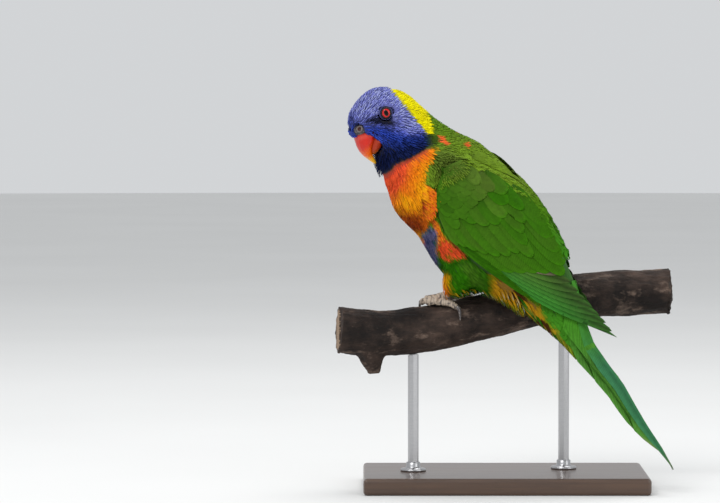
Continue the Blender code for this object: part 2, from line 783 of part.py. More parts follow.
def pull_in(rings, at_start, at_end):
    """Move the end rings inwards along the bird, to leave the seam's gap."""
    count = len(rings[0])
    middles = [sum(ring, Vector()) / count for ring in rings]
    if at_start:
        step = ring_normal(rings[0], middles[1] - middles[0]) * SEAM
        rings[0] = [point + step for point in rings[0]]
    if at_end:
        step = ring_normal(rings[-1], middles[-2] - middles[-1]) * SEAM
        rings[-1] = [point + step for point in rings[-1]]


def ring_normal(ring, towards):
    quarter = len(ring) // 4
    normal = (ring[2 * quarter] - ring[0]).cross(ring[3 * quarter] - ring[quarter]).normalized()
    return normal if normal.dot(towards) > 0 else -normal


build()
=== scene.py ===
import math

import bmesh
import bpy
import numpy as np
from mathutils import Matrix, Vector, noise
from mathutils.bvhtree import BVHTree


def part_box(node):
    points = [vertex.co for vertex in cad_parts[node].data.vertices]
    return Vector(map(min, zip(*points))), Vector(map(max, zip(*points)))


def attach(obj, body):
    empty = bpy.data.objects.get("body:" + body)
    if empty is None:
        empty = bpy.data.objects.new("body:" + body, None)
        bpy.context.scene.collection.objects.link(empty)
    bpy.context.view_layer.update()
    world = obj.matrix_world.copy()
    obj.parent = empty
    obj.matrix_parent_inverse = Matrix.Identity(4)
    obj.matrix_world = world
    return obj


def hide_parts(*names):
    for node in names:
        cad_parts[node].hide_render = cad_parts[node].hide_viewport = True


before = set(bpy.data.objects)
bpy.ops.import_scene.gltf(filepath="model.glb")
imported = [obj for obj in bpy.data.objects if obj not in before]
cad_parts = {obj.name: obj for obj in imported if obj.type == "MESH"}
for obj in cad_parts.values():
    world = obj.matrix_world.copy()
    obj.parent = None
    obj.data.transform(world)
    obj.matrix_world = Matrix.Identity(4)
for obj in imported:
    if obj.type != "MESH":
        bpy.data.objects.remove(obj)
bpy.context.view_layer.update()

MM = 0.001
RANDOM = np.random.default_rng(20)

# Camera, from the photograph's framing
CAMERA_AIM = Vector((-0.087, 0.0, 0.1419))
CAMERA_DISTANCE = 2.5
CAMERA_LOOKS_DOWN = math.radians(2.5)
CAMERA_LENS = 208.3

# The bird's middle line from crown to tail tip: x, y, z in millimetres and the turn of its sides
SPINE = np.array([
    (-80.8, -1.8, 240.0, 20.0),
    (-70.8, 1.8, 220.8, 20.0),
    (-56.5, 5.1, 206.9, 1.0),
    (-43.8, 2.9, 193.5, -16.0),
    (-32.8, -0.9, 179.1, -20.0),
    (-18.0, -6.3, 161.8, -20.0),
    (-0.6, -12.7, 139.6, -20.0),
    (20.4, -20.3, 121.9, -20.0),
    (37.4, -26.5, 98.2, -20.0),
    (66.6, -37.1, 65.9, -20.0),
    (98.0, -48.6, 15.4, -20.0),
])
BODY_TURN = math.radians(-20.0)
HEAD_TURN = math.radians(20.0)
HEAD_PITCH = math.radians(25.0)
HEAD_MIDDLE = Vector((-72.0, 1.8, 220.2)) * MM
FOOT_X = -35.4 * MM

# Outlines of the markings on the left side as the camera sees it, in millimetres: x and height
HOOD_LOW_EDGE = [(-72, 188.5), (-68, 191), (-66, 194), (-60, 196.5), (-54, 199.5), (-48, 203)]
HOOD_REAR_EDGE = [(-46.5, 211.5), (-50, 215.5), (-53.5, 219.5), (-56, 223.5), (-59.5, 228), (-63, 232.2),
                  (-67, 236.2), (-70.5, 239), (-74, 241), (-75, 250)]
HOOD = [(-110, 248), (-110, 186), (-76, 188), *HOOD_LOW_EDGE, (-45, 207), *HOOD_REAR_EDGE]
COLLAR = [*reversed(HOOD_REAR_EDGE), (-44, 213), (-45, 220), (-47.5, 225.6), (-51, 230.4), (-55.2, 234.6),
          (-60, 238.8), (-62, 250)]
BREAST = [(-110, 189), (-77, 195), *HOOD_LOW_EDGE, (-41, 204), (-42.6, 197), (-47.4, 191), (-48.6, 182.4),
          (-46.2, 181.2), (-42, 179), (-40.8, 174.6), (-41.4, 169.5), (-43.3, 164), (-46.8, 156.6),
          (-51.4, 152.4), (-60, 148), (-110, 148)]
BELLY = [(-70, 155), (-51, 152), (-46, 157), (-42, 156.6), (-40.8, 151.2), (-42, 144.6), (-40.2, 138),
         (-40.2, 131), (-55, 128), (-80, 140)]
CORAL = [(-45, 163), (-41.4, 161), (-38, 153), (-32, 147.5), (-26, 143), (-23.5, 139.8), (-26, 138.2),
         (-31.3, 138.6), (-34.8, 137.2), (-38, 138.6), (-41.7, 141.8), (-40.8, 147), (-40.8, 153.6),
         (-43.3, 156.6)]
UNDERTAIL = [(-10, 128), (-4, 127), (9, 118), (18, 111), (28, 98), (36, 86), (48, 71), (36, 77), (22, 88),
             (13, 93), (-2, 101), (-8, 110)]
SHOULDER = [(-44, 201), (-36, 203), (-27, 198), (-22, 190), (-30, 186), (-41, 186)]
STREAK = [(-84, 221.0), (-80, 222.8), (-75.5, 223.2), (-70, 222.4), (-66.5, 219.8), (-67, 217.4),
          (-71, 217.6), (-77, 218.4), (-83, 219.0)]
# This outline is painted shade on the nape behind the hood, not a marking
NAPE_PAINTED_SHADE = [(-50, 212), (-44, 214), (-40, 209), (-43, 203.5), (-47, 205)]

# Outlines of the tufts over the wing's bend and over the perch, in the same view
LOBE = [(-50.5, 182.5), (-47, 181.5), (-44, 179), (-42.8, 175), (-43.5, 169), (-46, 164), (-50, 163),
        (-51, 172)]
FLUFF = [(-46, 202), (-38, 203), (-28, 200), (-23, 197), (-26, 191), (-34, 186), (-41, 184), (-45.5, 184),
         (-46.5, 192)]
HEM = [(-36, 122), (-20, 121), (-6, 122), (4, 119), (8, 113), (2, 108), (-12, 112), (-24, 114), (-36, 115)]

# Orange flecks on the nape and mantle: x, height and radius
FLECKS = [(-38.5, 209.5, 2.0), (-36.3, 207.0, 2.3), (-23.2, 206.3, 2.2), (-16.0, 208.3, 1.8),
          (-30.0, 214.5, 1.8)]

# How soft the edge of a marking is, and how large the slow and the fine drifts of its tone are
MARKING_EDGE = 1.2
SLOW_DRIFT = 0.012
FINE_DRIFT = 0.004

# Colours, as linear red, green and blue
LILAC = (0.205, 0.225, 0.66)
BLUE = (0.030, 0.065, 0.46)
COBALT = (0.014, 0.034, 0.24)
NAVY = (0.005, 0.010, 0.050)
YELLOW = (0.84, 0.74, 0.001)
LIME = (0.36, 0.48, 0.004)
NAPE = (0.115, 0.235, 0.008)
MANTLE = (0.155, 0.270, 0.016)
BACK = (0.066, 0.190, 0.006)
RUMP = (0.050, 0.225, 0.012)
WING = (0.027, 0.125, 0.001)
OLIVE = (0.095, 0.145, 0.020)
SCARLET = (0.92, 0.085, 0.030)
ORANGE = (1.0, 0.22, 0.008)
AMBER = (1.0, 0.40, 0.004)
MAROON = (0.24, 0.020, 0.004)
PLUM = (0.095, 0.092, 0.19)
CORAL_RED = (0.66, 0.060, 0.022)
THIGH = (0.022, 0.130, 0.001)
OCHRE = (0.48, 0.24, 0.008)
BROWN = (0.060, 0.022, 0.004)
TEAL = (0.038, 0.165, 0.070)
TAIL_GREEN = (0.066, 0.205, 0.028)
DUSK = (0.040, 0.050, 0.020)
DOWN = (0.30, 0.36, 0.27)
FLECK = (0.85, 0.14, 0.03)
BELLY_NAVY = (0.030, 0.038, 0.12)
LEG_RED = (0.90, 0.17, 0.01)
STREAK_BLACK = (0.006, 0.007, 0.016)
# The dark green of the painted shade on the nape
PAINTED_SHADE_GREEN = (0.014, 0.034, 0.006)
VENT_GREEN = (0.06, 0.20, 0.02)


class Value:
    """A shader socket. Arithmetic on it adds Math nodes."""

    def __init__(self, finish, socket):
        self.finish = finish
        self.socket = socket

    def math(self, operation, first, second=None):
        sockets = {0: first}
        if second is not None:
            sockets[1] = second
        return self.finish.node("ShaderNodeMath", {"operation": operation}, sockets)

    def __add__(self, other):
        return self.math("ADD", self, other)

    def __radd__(self, other):
        return self.math("ADD", other, self)

    def __sub__(self, other):
        return self.math("SUBTRACT", self, other)

    def __rsub__(self, other):
        return self.math("SUBTRACT", other, self)

    def __mul__(self, other):
        return self.math("MULTIPLY", self, other)

    def __rmul__(self, other):
        return self.math("MULTIPLY", other, self)

    def __pow__(self, other):
        return self.math("POWER", self, other)

    def __abs__(self):
        return self.math("ABSOLUTE", self)

    def sine(self):
        return self.math("SINE", self)

    def clipped(self):
        """Kept between nought and one."""
        return self.math("MINIMUM", self.math("MAXIMUM", self, 0.0), 1.0)


class Finish:
    """A material: a Principled shader and the nodes that vary it."""

    def __init__(self, name, roughness=0.5, metallic=0.0, **constants):
        self.material = bpy.data.materials.new(name)
        self.material.use_nodes = True
        self.tree = self.material.node_tree
        self.shader = self.tree.nodes["Principled BSDF"]
        self.shader.inputs["Roughness"].default_value = roughness
        self.shader.inputs["Metallic"].default_value = metallic
        for label, value in constants.items():
            self.shader.inputs[label.replace("_", " ")].default_value = value

    def node(self, kind, settings=None, sockets=None, output=0):
        """Any node: its type, its settings and what its sockets hold or are linked to."""
        made = self.tree.nodes.new(kind)
        for key, value in (settings or {}).items():
            setattr(made, key, value)
        for key, value in (sockets or {}).items():
            if isinstance(value, Value):
                self.tree.links.new(value.socket, made.inputs[key])
            else:
                made.inputs[key].default_value = value
        return Value(self, made.outputs[output])

    def feed(self, label, value):
        self.tree.links.new(value.socket, self.shader.inputs[label])

    def place(self):
        return self.node("ShaderNodeTexCoord", output="Object")

    def split(self, vector):
        return [self.node("ShaderNodeSeparateXYZ", {}, {0: vector}, output) for output in range(3)]

    def noise(self, vector, scale, detail=3.0, roughness=0.5):
        sockets = {"Vector": vector, "Scale": scale, "Detail": detail, "Roughness": roughness}
        return self.node("ShaderNodeTexNoise", {}, sockets)

    def mix(self, factor, first, second, blend="MIX"):
        settings = {"data_type": "RGBA", "blend_type": blend}
        first = first if isinstance(first, Value) else (*first, 1.0)
        second = second if isinstance(second, Value) else (*second, 1.0)
        return self.node("ShaderNodeMix", settings, {0: factor, 6: first, 7: second}, 2)

    def times(self, first, second):
        return self.mix(1.0, first, second, "MULTIPLY")

    def varied(self, colour, amount, low, high):
        """A colour dimmed to the low share where the amount is nought, and raised to the high one at one."""
        return self.times(colour, self.mix(amount, (low,) * 3, (high,) * 3))

    def stretch(self, vector, scale):
        return self.node("ShaderNodeMapping", {}, {"Vector": vector, "Scale": scale})

    def bump(self, height, distance, strength=1.0):
        sockets = {"Height": height, "Distance": distance, "Strength": strength}
        self.feed("Normal", self.node("ShaderNodeBump", {}, sockets))


def unit(vectors):
    """Vectors made one long."""
    return vectors / np.maximum(np.linalg.norm(vectors, axis=-1, keepdims=True), 1e-12)


def dot(first, second):
    return (first * second).sum(axis=-1, keepdims=True)


def blend(first, second, share):
    """A mix of two colours or arrays, share by share."""
    return np.asarray(first) + (np.asarray(second) - np.asarray(first)) * share


def piece_of(name, mesh, finish):
    """An object for a mesh, on the bird's one body."""
    obj = bpy.data.objects.new(name, mesh)
    bpy.context.scene.collection.objects.link(obj)
    if finish is not None:
        mesh.materials.clear()
        mesh.materials.append(finish.material)
    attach(obj, "root")
    return obj


def node_mesh(name):
    """A merged copy of a CAD node's mesh, as a bmesh."""
    bm = bmesh.new()
    bm.from_mesh(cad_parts[name].data)
    bmesh.ops.remove_doubles(bm, verts=bm.verts, dist=0.00001)
    bm.normal_update()
    return bm


def remeshed(bm, voxel, smooth=2):
    """The bmesh's outer surface as even quads, as a new bmesh."""
    mesh = bpy.data.meshes.new("raw")
    bm.to_mesh(mesh)
    bm.free()
    raw = bpy.data.objects.new("raw", mesh)
    bpy.context.scene.collection.objects.link(raw)
    modifier = raw.modifiers.new("voxels", "REMESH")
    modifier.mode = "VOXEL"
    modifier.voxel_size = voxel
    evaluated = raw.evaluated_get(bpy.context.evaluated_depsgraph_get())
    result = bpy.data.meshes.new_from_object(evaluated)
    bpy.data.objects.remove(raw)
    bpy.data.meshes.remove(mesh)
    out = bmesh.new()
    out.from_mesh(result)
    bpy.data.meshes.remove(result)
    for _ in range(smooth):
        smoothed(out)
    out.normal_update()
    return out


def smoothed(bm):
    bmesh.ops.smooth_vert(bm, verts=bm.verts, factor=0.5, use_axis_x=True, use_axis_y=True, use_axis_z=True)


def displaced(bm, distance_at):
    """Every vertex moved along its normal by its own distance."""
    moves = [(vert, vert.normal * distance_at(vert)) for vert in bm.verts]
    for vert, move in moves:
        vert.co += move


def pushed(bm, distance):
    """Every vertex moved out along its normal by one distance."""
    bm.normal_update()
    displaced(bm, lambda vert: distance)
    bm.normal_update()


def absorb(whole, part):
    """Add one bmesh to another and free it."""
    mesh = bpy.data.meshes.new("part")
    part.to_mesh(mesh)
    part.free()
    whole.from_mesh(mesh)
    bpy.data.meshes.remove(mesh)


def mesh_from(bm, name):
    mesh = bpy.data.meshes.new(name)
    bm.to_mesh(mesh)
    bm.free()
    mesh.shade_smooth()
    return mesh


def colour_points(mesh, colours):
    """A colour for each vertex, in the attribute that every coloured finish reads."""
    layer = mesh.attributes.new("Tint", "FLOAT_COLOR", "POINT")
    data = np.ones((len(mesh.vertices), 4))
    data[:, :3] = colours
    layer.data.foreach_set("color", data.ravel().astype(np.float32))


def mesh_points(mesh):
    points = np.empty(len(mesh.vertices) * 3)
    mesh.vertices.foreach_get("co", points)
    return points.reshape(-1, 3)


def camera_place():
    back = Vector((0.0, -math.cos(CAMERA_LOOKS_DOWN), math.sin(CAMERA_LOOKS_DOWN)))
    return CAMERA_AIM + back * CAMERA_DISTANCE


def along_spine(points):
    """How far along the bird each point is, from 0 to 1, its middle line there and its side axis."""
    line = SPINE[:, :3] * MM
    turns = np.radians(SPINE[:, 3])
    steps = np.linalg.norm(np.diff(line, axis=0), axis=1)
    before = np.concatenate([[0.0], np.cumsum(steps)])
    nearest = np.full(len(points), 1e9)
    share = np.zeros(len(points))
    middle = np.zeros((len(points), 3))
    turn = np.zeros(len(points))
    for i, step in enumerate(steps):
        way = (line[i + 1] - line[i]) / step
        reach = np.clip((points - line[i]) @ way, 0.0, step)
        foot = line[i] + reach[:, None] * way
        gap = np.linalg.norm(points - foot, axis=1)
        closer = gap < nearest
        nearest[closer] = gap[closer]
        share[closer] = (before[i] + reach[closer]) / before[-1]
        middle[closer] = foot[closer]
        turn[closer] = (turns[i] + (turns[i + 1] - turns[i]) * reach / step)[closer]
    side = np.stack([-np.sin(turn), np.cos(turn), np.zeros(len(points))], axis=1)
    return share, middle, side


def near_view(points):
    """Each point as if on the left side and seen by the camera, in millimetres: x and height."""
    _, middle, side = along_spine(points)
    off = dot(points - middle, side)
    mirrored = points - 2 * np.maximum(off, 0.0) * side
    eye = np.array(camera_place())
    reach = -eye[1] / (mirrored[:, 1:2] - eye[1])
    seen = eye + (mirrored - eye) * reach
    return seen[:, [0, 2]] / MM


def inside(seen, outline, soft=MARKING_EDGE):
    """One inside an outline and nought outside, blended over a soft edge."""
    corners = np.array(outline, float)
    nearest = np.full(len(seen), 1e9)
    crossed = np.zeros(len(seen), bool)
    for start, end in zip(corners, np.roll(corners, -1, axis=0)):
        way = end - start
        reach = np.clip((seen - start) @ way / (way @ way), 0.0, 1.0)
        nearest = np.minimum(nearest, np.linalg.norm(seen - start - reach[:, None] * way, axis=1))
        spans = (start[1] > seen[:, 1]) != (end[1] > seen[:, 1])
        rise = way[1] if abs(way[1]) > 1e-9 else 1e-9
        crossed ^= spans & (seen[:, 0] < start[0] + (seen[:, 1] - start[1]) * way[0] / rise)
    signed = np.where(crossed, nearest, -nearest)
    return np.clip(0.5 + signed / soft, 0.0, 1.0)[:, None]


def smoothstep(low, high, values):
    share = np.clip((values - low) / (high - low), 0.0, 1.0)
    return share * share * (3 - 2 * share)


def read_off(places, marks, rows):
    """Rows of numbers that are known at the marks, read off at other places."""
    return np.stack([np.interp(places, marks, column) for column in rows.T], axis=1)


def wander(points, size, seed):
    """Smooth noise from -1 to 1 at each point."""
    place = Vector((seed * 7.3, seed * 1.7, seed * 4.1))
    return np.array([noise.noise(Vector(point) / size + place) for point in points])[:, None]


def green_markings(seen, slow, fine):
    """Nape, mantle, back, rump and thighs, with the shoulder's olive and the orange flecks."""
    x, z = seen[:, 0:1], seen[:, 1:2]
    colour = blend(blend(NAPE, MANTLE, smoothstep(217.0, 206.0, z)), BACK, smoothstep(188.0, 166.0, z))
    colour = blend(colour, RUMP, smoothstep(2.0, 30.0, x) * smoothstep(170.0, 140.0, z))
    belly = smoothstep(152.0, 138.0, z - (x + 30.0) * 0.25)
    thigh = blend(THIGH, OLIVE, smoothstep(0.1, 0.6, slow) * 0.35)
    colour = blend(colour, thigh, belly * smoothstep(30.0, 5.0, x))
    colour = blend(colour, OLIVE, inside(seen, SHOULDER, 7.0) * 0.85)
    for fleck_x, fleck_z, size in FLECKS:
        reach = np.hypot(x - fleck_x, (z - fleck_z) * 1.2 + fine * 1.5)
        colour = blend(colour, FLECK, smoothstep(size, size * 0.6, reach))
    return colour


def breast_colour(x, z, slow, fine):
    """Scarlet at the throat, amber towards the wing and at the middle, and maroon low down."""
    across = smoothstep(-0.25, 1.0, (x + 74.0 + (z - 190.0) * -0.55) / 30.0)
    warm = blend(SCARLET, ORANGE, smoothstep(0.5, 0.95, across + 0.3 * slow))
    warm = blend(warm, AMBER, smoothstep(0.84, 1.04, across + 0.12 * slow) * 0.9)
    middle = smoothstep(188.0, 176.0, z) * smoothstep(-68.0, -60.0, x)
    warm = blend(warm, AMBER, middle * smoothstep(-0.1, 0.5, fine + slow) * 0.6)
    low = smoothstep(171.5, 168.0, z + fine * 3.0 - np.abs(x + 58.0) * 0.1) * smoothstep(-42.0, -46.0, x)
    low = low * smoothstep(151.0, 157.0, z + (x + 55.0) * 0.2)
    dark = blend(MAROON, ORANGE, smoothstep(0.0, 0.6, slow + fine * 0.5) * 0.4)
    return blend(warm, dark, low * 0.97)


def front_markings(colour, seen, slow, fine):
    """Red flank, dark blue belly, warm breast, ochre undertail and the orange front of the legs."""
    x, z = seen[:, 0:1], seen[:, 1:2]
    flank = blend(blend(CORAL_RED, THIGH, smoothstep(0.25, 0.5, fine)), ORANGE, 0.12)
    colour = blend(colour, flank, inside(seen, CORAL, 1.6))
    belly = blend(PLUM, BELLY_NAVY, smoothstep(-0.1, 0.4, fine))
    belly = blend(belly, CORAL_RED, smoothstep(0.25, 0.55, slow) * 0.35)
    belly = blend(belly, THIGH, smoothstep(0.3, 0.6, fine) * smoothstep(-47.0, -41.0, x) * 0.8)
    colour = blend(colour, belly, inside(seen, BELLY, 2.0))
    colour = blend(colour, breast_colour(x, z, slow, fine), inside(seen, BREAST, 1.4))
    vent = blend(OCHRE, blend(THIGH, LIME, 0.25), smoothstep(0.0, 0.35, slow))
    colour = blend(colour, vent, inside(seen, UNDERTAIL, 4.0))
    leg = smoothstep(-31.0, -37.0, x) * smoothstep(131.0, 128.0, z)
    return blend(colour, blend(AMBER, LEG_RED, smoothstep(123.0, 120.0, z)), leg)


def head_markings(colour, seen, slow, fine):
    """The streaked blue hood with its dark eye stripe and chin, the yellow collar behind it, and painted
    shade on the nape behind the hood.
    """
    x, z = seen[:, 0:1], seen[:, 1:2]
    hood = blend(COBALT, LILAC, smoothstep(212.0, 226.0, z + (x + 75.0) * 0.12 + slow * 3.0))
    lores = smoothstep(219.0, 213.0, z) * smoothstep(-66.0, -78.0, x)
    hood = blend(hood, BLUE, lores * smoothstep(203.0, 209.0, z))
    hood = blend(hood, LILAC, smoothstep(9.0, 3.0, np.hypot(x + 56.0, z - 219.0)) * 0.6)
    hood = blend(hood, NAVY, smoothstep(213.0, 200.0, z + fine * 2.0 - (x + 70.0) * 0.12))
    hood = blend(hood, STREAK_BLACK, inside(seen, STREAK, 2.5) * 0.96)
    colour = blend(colour, hood, inside(seen, HOOD))
    # Painted shade on the nape behind the hood
    colour = blend(colour, PAINTED_SHADE_GREEN, inside(seen, NAPE_PAINTED_SHADE, 3.0) * 0.85)
    collar = blend(YELLOW, LIME, smoothstep(0.2, 1.0, (x + 50.5 + (z - 229.0) * 0.85) / 7.0) * 0.7)
    return blend(colour, collar, inside(seen, COLLAR, 1.0))


def markings(points, ragged=0.0):
    """The plumage's colour at points of the bird's surface. Heights and places are in millimetres."""
    seen = near_view(points)
    if ragged:
        seen = seen + RANDOM.normal(0.0, ragged, seen.shape)
    slow = wander(points, SLOW_DRIFT, 1)
    fine = wander(points, FINE_DRIFT, 2)
    colour = green_markings(seen, slow, fine)
    colour = front_markings(colour, seen, slow, fine)
    colour = head_markings(colour, seen, slow, fine)
    return np.clip(colour * (1.0 + 0.14 * slow + 0.08 * fine), 0.0, 1.0)


def unwrap_places(points):
    """Each point's place on an unwrap of the bird: angle round it and distance along it."""
    share, middle, side = along_spine(points)
    tangent = unit(np.stack([-side[:, 1], side[:, 0], np.full(len(points), 0.9)], axis=1))
    across = dot(points - middle, side)[:, 0]
    upward = dot(points - middle, tangent)[:, 0]
    angle = np.arctan2(across, upward) / (2 * np.pi) + 0.5
    return np.stack([0.02 + 0.96 * angle, 0.02 + 0.96 * share], axis=1)


class Surface:
    """A mesh that feathers lie on, searched for its nearest points."""

    def __init__(self, mesh):
        self.mesh = mesh
        bm = bmesh.new()
        bm.from_mesh(mesh)
        bmesh.ops.triangulate(bm, faces=bm.faces)
        self.tree = BVHTree.FromBMesh(bm)
        bm.free()

    def nearest(self, points):
        places = np.empty_like(points)
        normals = np.empty_like(points)
        for i, point in enumerate(points):
            place, normal, _, _ = self.tree.find_nearest(Vector(point))
            places[i] = place
            normals[i] = normal
        return places, normals

    def gaps(self, points):
        return np.array([self.tree.find_nearest(Vector(point))[3] for point in points])


# How many random places are tried for each root that the spacing has room for
TRIES = 3.2


def scatter(mesh, spacing, keep, seed):
    """Roots over the part of a mesh that keep allows, none nearer its neighbours than spacing."""
    chance = np.random.default_rng(seed)
    mesh.calc_loop_triangles()
    corners = np.empty(len(mesh.loop_triangles) * 3, np.int32)
    mesh.loop_triangles.foreach_get("vertices", corners)
    points = mesh_points(mesh)[corners.reshape(-1, 3)]
    areas = np.linalg.norm(np.cross(points[:, 1] - points[:, 0], points[:, 2] - points[:, 0]), axis=1) / 2
    areas = areas * keep(points.mean(axis=1))
    count = int(areas.sum() / spacing**2 * TRIES)
    picks = chance.choice(len(points), count, p=areas / areas.sum())
    first, second = chance.random(count), chance.random(count)
    fold = first + second > 1
    first[fold], second[fold] = 1 - first[fold], 1 - second[fold]
    base = points[picks]
    spots = base[:, 0] + first[:, None] * (base[:, 1] - base[:, 0])
    spots = spots + second[:, None] * (base[:, 2] - base[:, 0])
    steps = (-1, 0, 1)
    taken = {}
    kept = []
    cells = np.floor(spots / spacing).astype(int)
    for i, (cell, spot) in enumerate(zip(map(tuple, cells), spots)):
        around = [(cell[0] + a, cell[1] + b, cell[2] + c) for a in steps for b in steps for c in steps]
        others = [other for key in around for other in taken.get(key, ())]
        if all(np.dot(spot - other, spot - other) >= spacing**2 for other in others):
            taken.setdefault(cell, []).append(spot)
            kept.append(i)
    return spots[kept]


# The side of each feather's patch on the OFBake map
BAKE_PATCH = 0.003


def coat_mesh(name, rings, colours, roots, shares, widths):
    """Joined solid vanes from rings of points, indexed by vane, row and place round the ring."""
    count, rows, sides, _ = rings.shape
    mesh = bpy.data.meshes.new(name)
    base = np.arange(count * rows * sides).reshape(count, rows, sides)
    turned = np.roll(base, -1, axis=2)
    quads = np.stack([base[:, :-1], turned[:, :-1], turned[:, 1:], base[:, 1:]], axis=-1).reshape(-1, 4)
    ends = np.concatenate([base[:, 0, ::-1], base[:, -1]])
    loops = np.concatenate([quads.ravel(), ends.ravel()])
    sizes = np.concatenate([np.full(len(quads), 4), np.full(len(ends), sides)])
    starts = np.concatenate([[0], np.cumsum(sizes)[:-1]])
    mesh.vertices.add(base.size)
    mesh.vertices.foreach_set("co", rings.ravel().astype(np.float32))
    mesh.loops.add(len(loops))
    mesh.loops.foreach_set("vertex_index", loops.astype(np.int32))
    mesh.polygons.add(len(sizes))
    mesh.polygons.foreach_set("loop_start", starts.astype(np.int32))
    mesh.update(calc_edges=True)
    mesh.shade_smooth()
    rim = np.abs(widths - 0.5) > 0.49
    edge_ends = np.empty(len(mesh.edges) * 2, np.int32)
    mesh.edges.foreach_get("vertices", edge_ends)
    edge_ends = edge_ends.reshape(-1, 2) % sides
    crisp = (edge_ends[:, 0] == edge_ends[:, 1]) & rim[edge_ends[:, 0]]
    mesh.attributes.new("sharp_edge", "BOOLEAN", "EDGE").data.foreach_set("value", crisp)
    colour_points(mesh, colours.reshape(-1, 3))
    local = np.empty((count, rows, sides, 2))
    local[..., 0] = widths
    local[..., 1] = shares[:, None]
    local = local.reshape(-1, 2)[loops]
    vane = mesh.uv_layers.new(name="Vane")
    vane.uv.foreach_set("vector", local.ravel().astype(np.float32))
    patch = np.repeat(unwrap_places(roots), rows * sides, axis=0)[loops] + (local - 0.5) * BAKE_PATCH
    bake = mesh.uv_layers.new(name="OFBake")
    bake.uv.foreach_set("vector", patch.ravel().astype(np.float32))
    return mesh


def follow_skin(surface, roots, ways, lengths, shares):
    """Paths over a surface from the roots: places, normals and ways for each row."""
    places = []
    normals = []
    headings = []
    spot, normal = surface.nearest(roots)
    way = unit(ways - normal * dot(ways, normal))
    travelled = 0.0
    for share in shares:
        step = (share - travelled) * lengths[:, None]
        if share > travelled:
            spot, normal_new = surface.nearest(spot + way * step)
            normal = unit(normal + normal_new)
            way = unit(way - normal * dot(way, normal))
        travelled = share
        places.append(spot)
        normals.append(normal)
        headings.append(way)
    return np.stack(places, 1), np.stack(normals, 1), np.stack(headings, 1)


def head_frame():
    """The head's own axes: ahead, up and to the bird's right."""
    back = Vector((math.cos(HEAD_TURN), math.sin(HEAD_TURN), 0.0))
    ahead = -back * math.cos(HEAD_PITCH) - Vector((0.0, 0.0, math.sin(HEAD_PITCH)))
    rise = -back * math.sin(HEAD_PITCH) + Vector((0.0, 0.0, math.cos(HEAD_PITCH)))
    across = Vector((-math.sin(HEAD_TURN), math.cos(HEAD_TURN), 0.0))
    return ahead, rise, across


def head_point(ahead, up, side):
    axes = head_frame()
    return HEAD_MIDDLE + (axes[0] * ahead + axes[1] * up + axes[2] * side) * MM


def lie(points, normals):
    """The way that feathers lie at points of the body."""
    line = SPINE[:, :3] * MM
    tangents = unit(np.gradient(line, axis=0))
    share, _, _ = along_spine(points)
    steps = np.linalg.norm(np.diff(line, axis=0), axis=1)
    marks = np.concatenate([[0.0], np.cumsum(steps)]) / steps.sum()
    body = read_off(share, marks, tangents)
    ahead, rise, _ = (np.array(axis) for axis in head_frame())
    up = ((points - np.array(HEAD_MIDDLE)) @ rise)[:, None] / MM
    face = unit(points - np.array(head_point(22.0, 2.0, 0.0)))
    face = unit(face - ahead * 0.5 - rise * (1.3 * smoothstep(6.0, -4.0, up) - 0.1))
    near = smoothstep(0.26, 0.08, share)[:, None]
    low = smoothstep(0.50, 0.56, share)[:, None] * smoothstep(0.72, 0.62, share)[:, None]
    way = unit(body * (1 - near) + face * near * 1.4 - np.array((0.0, 0.0, 0.9)) * low)
    return unit(way - normals * dot(way, normals))


class Vane:
    """The form of one sort of feather: its rows from root to tip, and the points round each row.

    Shares say how far along each row lies, the profile how wide it is and lifts how high it stands. Tops and
    unders are the places across it, from -1 to 1, of the points above and below.
    """

    def __init__(self, shares, profile, lifts, tops=(-1.0, 0.0, 1.0), unders=(0.0,), camber=0.3, thick=0.12,
                 ragged=0.0):
        self.shares = np.array(shares)
        self.profile = np.array(profile)
        self.lifts = np.array(lifts) * MM
        self.across = np.array(list(tops) + list(unders))
        self.under = np.array([0.0] * len(tops) + [1.0] * len(unders))
        self.camber = camber
        self.thick = thick * MM
        self.ragged = ragged * MM


HACKLE = Vane((0, 0.3, 0.6, 0.85, 1), (0.6, 1, 0.9, 0.6, 0.12), (-0.7, 0.25, 0.75, 1.1, 1.15),
              camber=0.5, thick=0.16)
WISP = Vane((0, 0.3, 0.6, 0.85, 1), (0.7, 1, 0.85, 0.5, 0.06), (-0.7, 0.1, 0.45, 0.75, 0.85))
SMOOTH = Vane((0, 0.2, 0.45, 0.7, 0.88, 0.96, 1), (0.5, 0.92, 1, 0.95, 0.72, 0.48, 0.2),
              (-0.7, -0.1, 0.2, 0.4, 0.48, 0.5, 0.5), (-1, -0.5, 0, 0.5, 1), (0.5, -0.5), 0.16, 0.16, 0.25)
SOFT = Vane((0, 0.25, 0.5, 0.75, 0.92, 1), (0.6, 0.95, 1, 0.8, 0.45, 0.15),
            (-0.7, -0.1, 0.15, 0.3, 0.36, 0.36), (-1, 0, 1), (0,), 0.12, 0.12, 0.6)
SLEEK = Vane((0, 0.2, 0.45, 0.7, 0.86, 0.95, 1), (0.6, 0.95, 1, 0.93, 0.74, 0.5, 0.2),
             (-0.35, -0.12, 0.0, 0.1, 0.14, 0.16, 0.16), (-1, -0.5, 0, 0.5, 1), (0.5, -0.5), 0.0, 0.12, 0.35)
COVERT = Vane((0, 0.2, 0.4, 0.6, 0.75, 0.88, 1), (0.5, 0.9, 1, 0.9, 0.7, 0.4, 0.06),
              (-0.8, -0.1, 0.3, 0.6, 0.75, 0.85, 0.85), (-1, -0.5, 0, 0.5, 1), (0.5, -0.5), 0.2, 0.16, 0.5)
FLIGHT_SHARES = np.array([0, 0.08, 0.18, 0.3, 0.42, 0.54, 0.65, 0.75, 0.83, 0.89, 0.94, 0.975, 1])


def rounded(start, blunt=0.5):
    """Row widths of a long feather that rounds in to its tip from the given share."""
    late = np.clip((FLIGHT_SHARES - start) / (1 - start), 0, 1)
    return (0.5 + 0.5 * smoothstep(0, 0.2, FLIGHT_SHARES)) * np.maximum(1 - late**2, 0) ** blunt + 0.03


